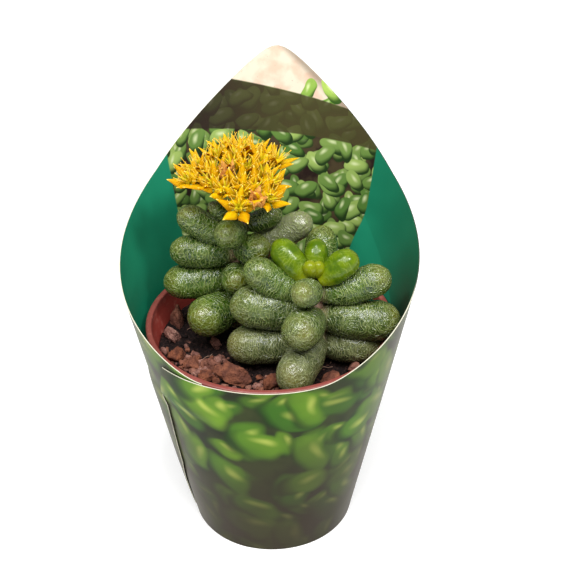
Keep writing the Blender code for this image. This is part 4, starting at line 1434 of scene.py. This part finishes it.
def cut_edge_material():
    """Raw edge of the card, pale, with painted shade along it on the right of the back."""
    made = Finish("card_edge", 0.8)
    colour = mix(made.place.grain(0.8 * MM), (0.42, 0.40, 0.30), (0.60, 0.58, 0.47))
    angle = made.kept("place", "Vector").parts()[0]
    # Painted shade: the edge is darker at angles from about 20 to 112 degrees, on the right of the back.
    return made.done(mix(angle.span(20.0, 30.0) * angle.span(112.0, 100.0), colour, (0.035, 0.045, 0.025)))


def make_sleeve():
    """The rolled card with its thickness, printed on both sides."""
    beans = bean_group()
    card = roll_card()
    finishes = [inside_material(beans), outside_material(beans), cut_edge_material()]
    sleeve = mesh_object("card_sleeve", card.points, card.faces(), finishes, {"place": card.places})
    skin = sleeve.modifiers.new("Card", "SOLIDIFY")
    skin.thickness = CARD
    skin.offset = -1.0
    skin.use_even_offset = True
    skin.material_offset = 1
    skin.material_offset_rim = 2
    apply_modifiers(sleeve)
    sleeve.data.set_sharp_from_angle(angle=math.radians(40))
    place_piece(sleeve, "sleeve")


# Floor, light and camera

def make_stage():
    made = Finish("pale_floor", 0.6, Emission_Strength=FLOOR_GLOW, Emission_Color=(1.0, 1.0, 1.0))
    finish = made.done(mix(made.place.grain(60 * MM), (0.86, 0.86, 0.86), (0.88, 0.88, 0.88)))
    corners = [(x * FLOOR_REACH, y * FLOOR_REACH, 0) for x, y in ((-1, -1), (1, -1), (1, 1), (-1, 1))]
    floor = mesh_object("floor", corners, [(0, 1, 2, 3)], [finish])
    floor.location.z = -FLOOR_DROP


def aim(place, target):
    return (Vector(target) - Vector(place)).to_track_quat("-Z", "Y")


def make_light():
    """Soft white surroundings, one broad light and three small ones for the gloss of the leaves."""
    world = bpy.data.worlds.new("studio")
    world.use_nodes = True
    background = world.node_tree.nodes["Background"]
    background.inputs["Color"].default_value = (1.0, 1.0, 1.0, 1.0)
    background.inputs["Strength"].default_value = SKY_STRENGTH
    bpy.context.scene.world = world
    for name, place, size, power in LIGHTS:
        data = bpy.data.lights.new(name, "AREA")
        data.size = size
        data.energy = power
        lamp = bpy.data.objects.new(name, data)
        lamp.location = place
        lamp.rotation_euler = aim(place, LIGHT_TARGET).to_euler()
        bpy.context.scene.collection.objects.link(lamp)
    bpy.context.scene.view_settings.view_transform = "Standard"


def make_camera():
    data = bpy.data.cameras.new("camera")
    data.lens = CAMERA_LENS
    data.sensor_width = SENSOR_WIDTH
    camera = bpy.data.objects.new("camera", data)
    facing = aim(CAMERA_PLACE, CAMERA_TARGET).to_matrix().to_4x4()
    roll = Matrix.Rotation(math.radians(CAMERA_ROLL), 4, "Z")
    camera.matrix_world = Matrix.Translation(CAMERA_PLACE) @ facing @ roll
    bpy.context.scene.collection.objects.link(camera)
    bpy.context.scene.camera = camera


def make_plant():
    bark = stem_material()
    rosette = ROSETTE_TOP + ROSETTE_MIDDLE + ROSETTE_LOW
    flowering = FLOWERING_TOP + FLOWERING_MIDDLE + FLOWERING_LOW
    make_stem("rosette_stalk", ROSETTE_STEM, "rosette_stem", rosette, bark)
    make_stem("flowering_stalk", FLOWERING_STEM, "flowering_stem", flowering, bark)
    fresh = leaf_material("leaf_top", 0.0, 1.0 * MM)
    grown = leaf_material("leaf_middle", 0.35, 0.95 * MM)
    old = leaf_material("leaf_low", 0.75, 0.8 * MM)
    coarse = leaf_material("leaf_coarse", 0.0, 1.25 * MM)
    stem = "rosette_stem", ROSETTE_STEM
    make_leaves("rosette_leaves_top", *stem, ROSETTE_TOP, fresh, 100, NET_SPACING)
    make_leaves("rosette_leaves_middle", *stem, ROSETTE_MIDDLE, grown, 200, NET_SPACING)
    make_leaves("rosette_leaves_low", *stem, ROSETTE_LOW, old, 300, OLD_NET_SPACING)
    stem = "flowering_stem", FLOWERING_STEM
    make_leaves("flowering_leaves_top", *stem, FLOWERING_TOP, coarse, 400, COARSE_NET_SPACING)
    make_leaves("flowering_leaves_middle", *stem, FLOWERING_MIDDLE, coarse, 500, COARSE_NET_SPACING)
    make_leaves("flowering_leaves_low", *stem, FLOWERING_LOW, coarse, 600, COARSE_NET_SPACING)
    make_young_leaves(young_leaf_material())
    make_flower_head()


make_camera()
make_light()
make_stage()
make_pot()
peat = peat_material()
make_peat(peat)
make_lava(lava_material())
make_crumbs(peat)
make_root_hairs(root_hair_material())
make_plant()
make_sleeve()
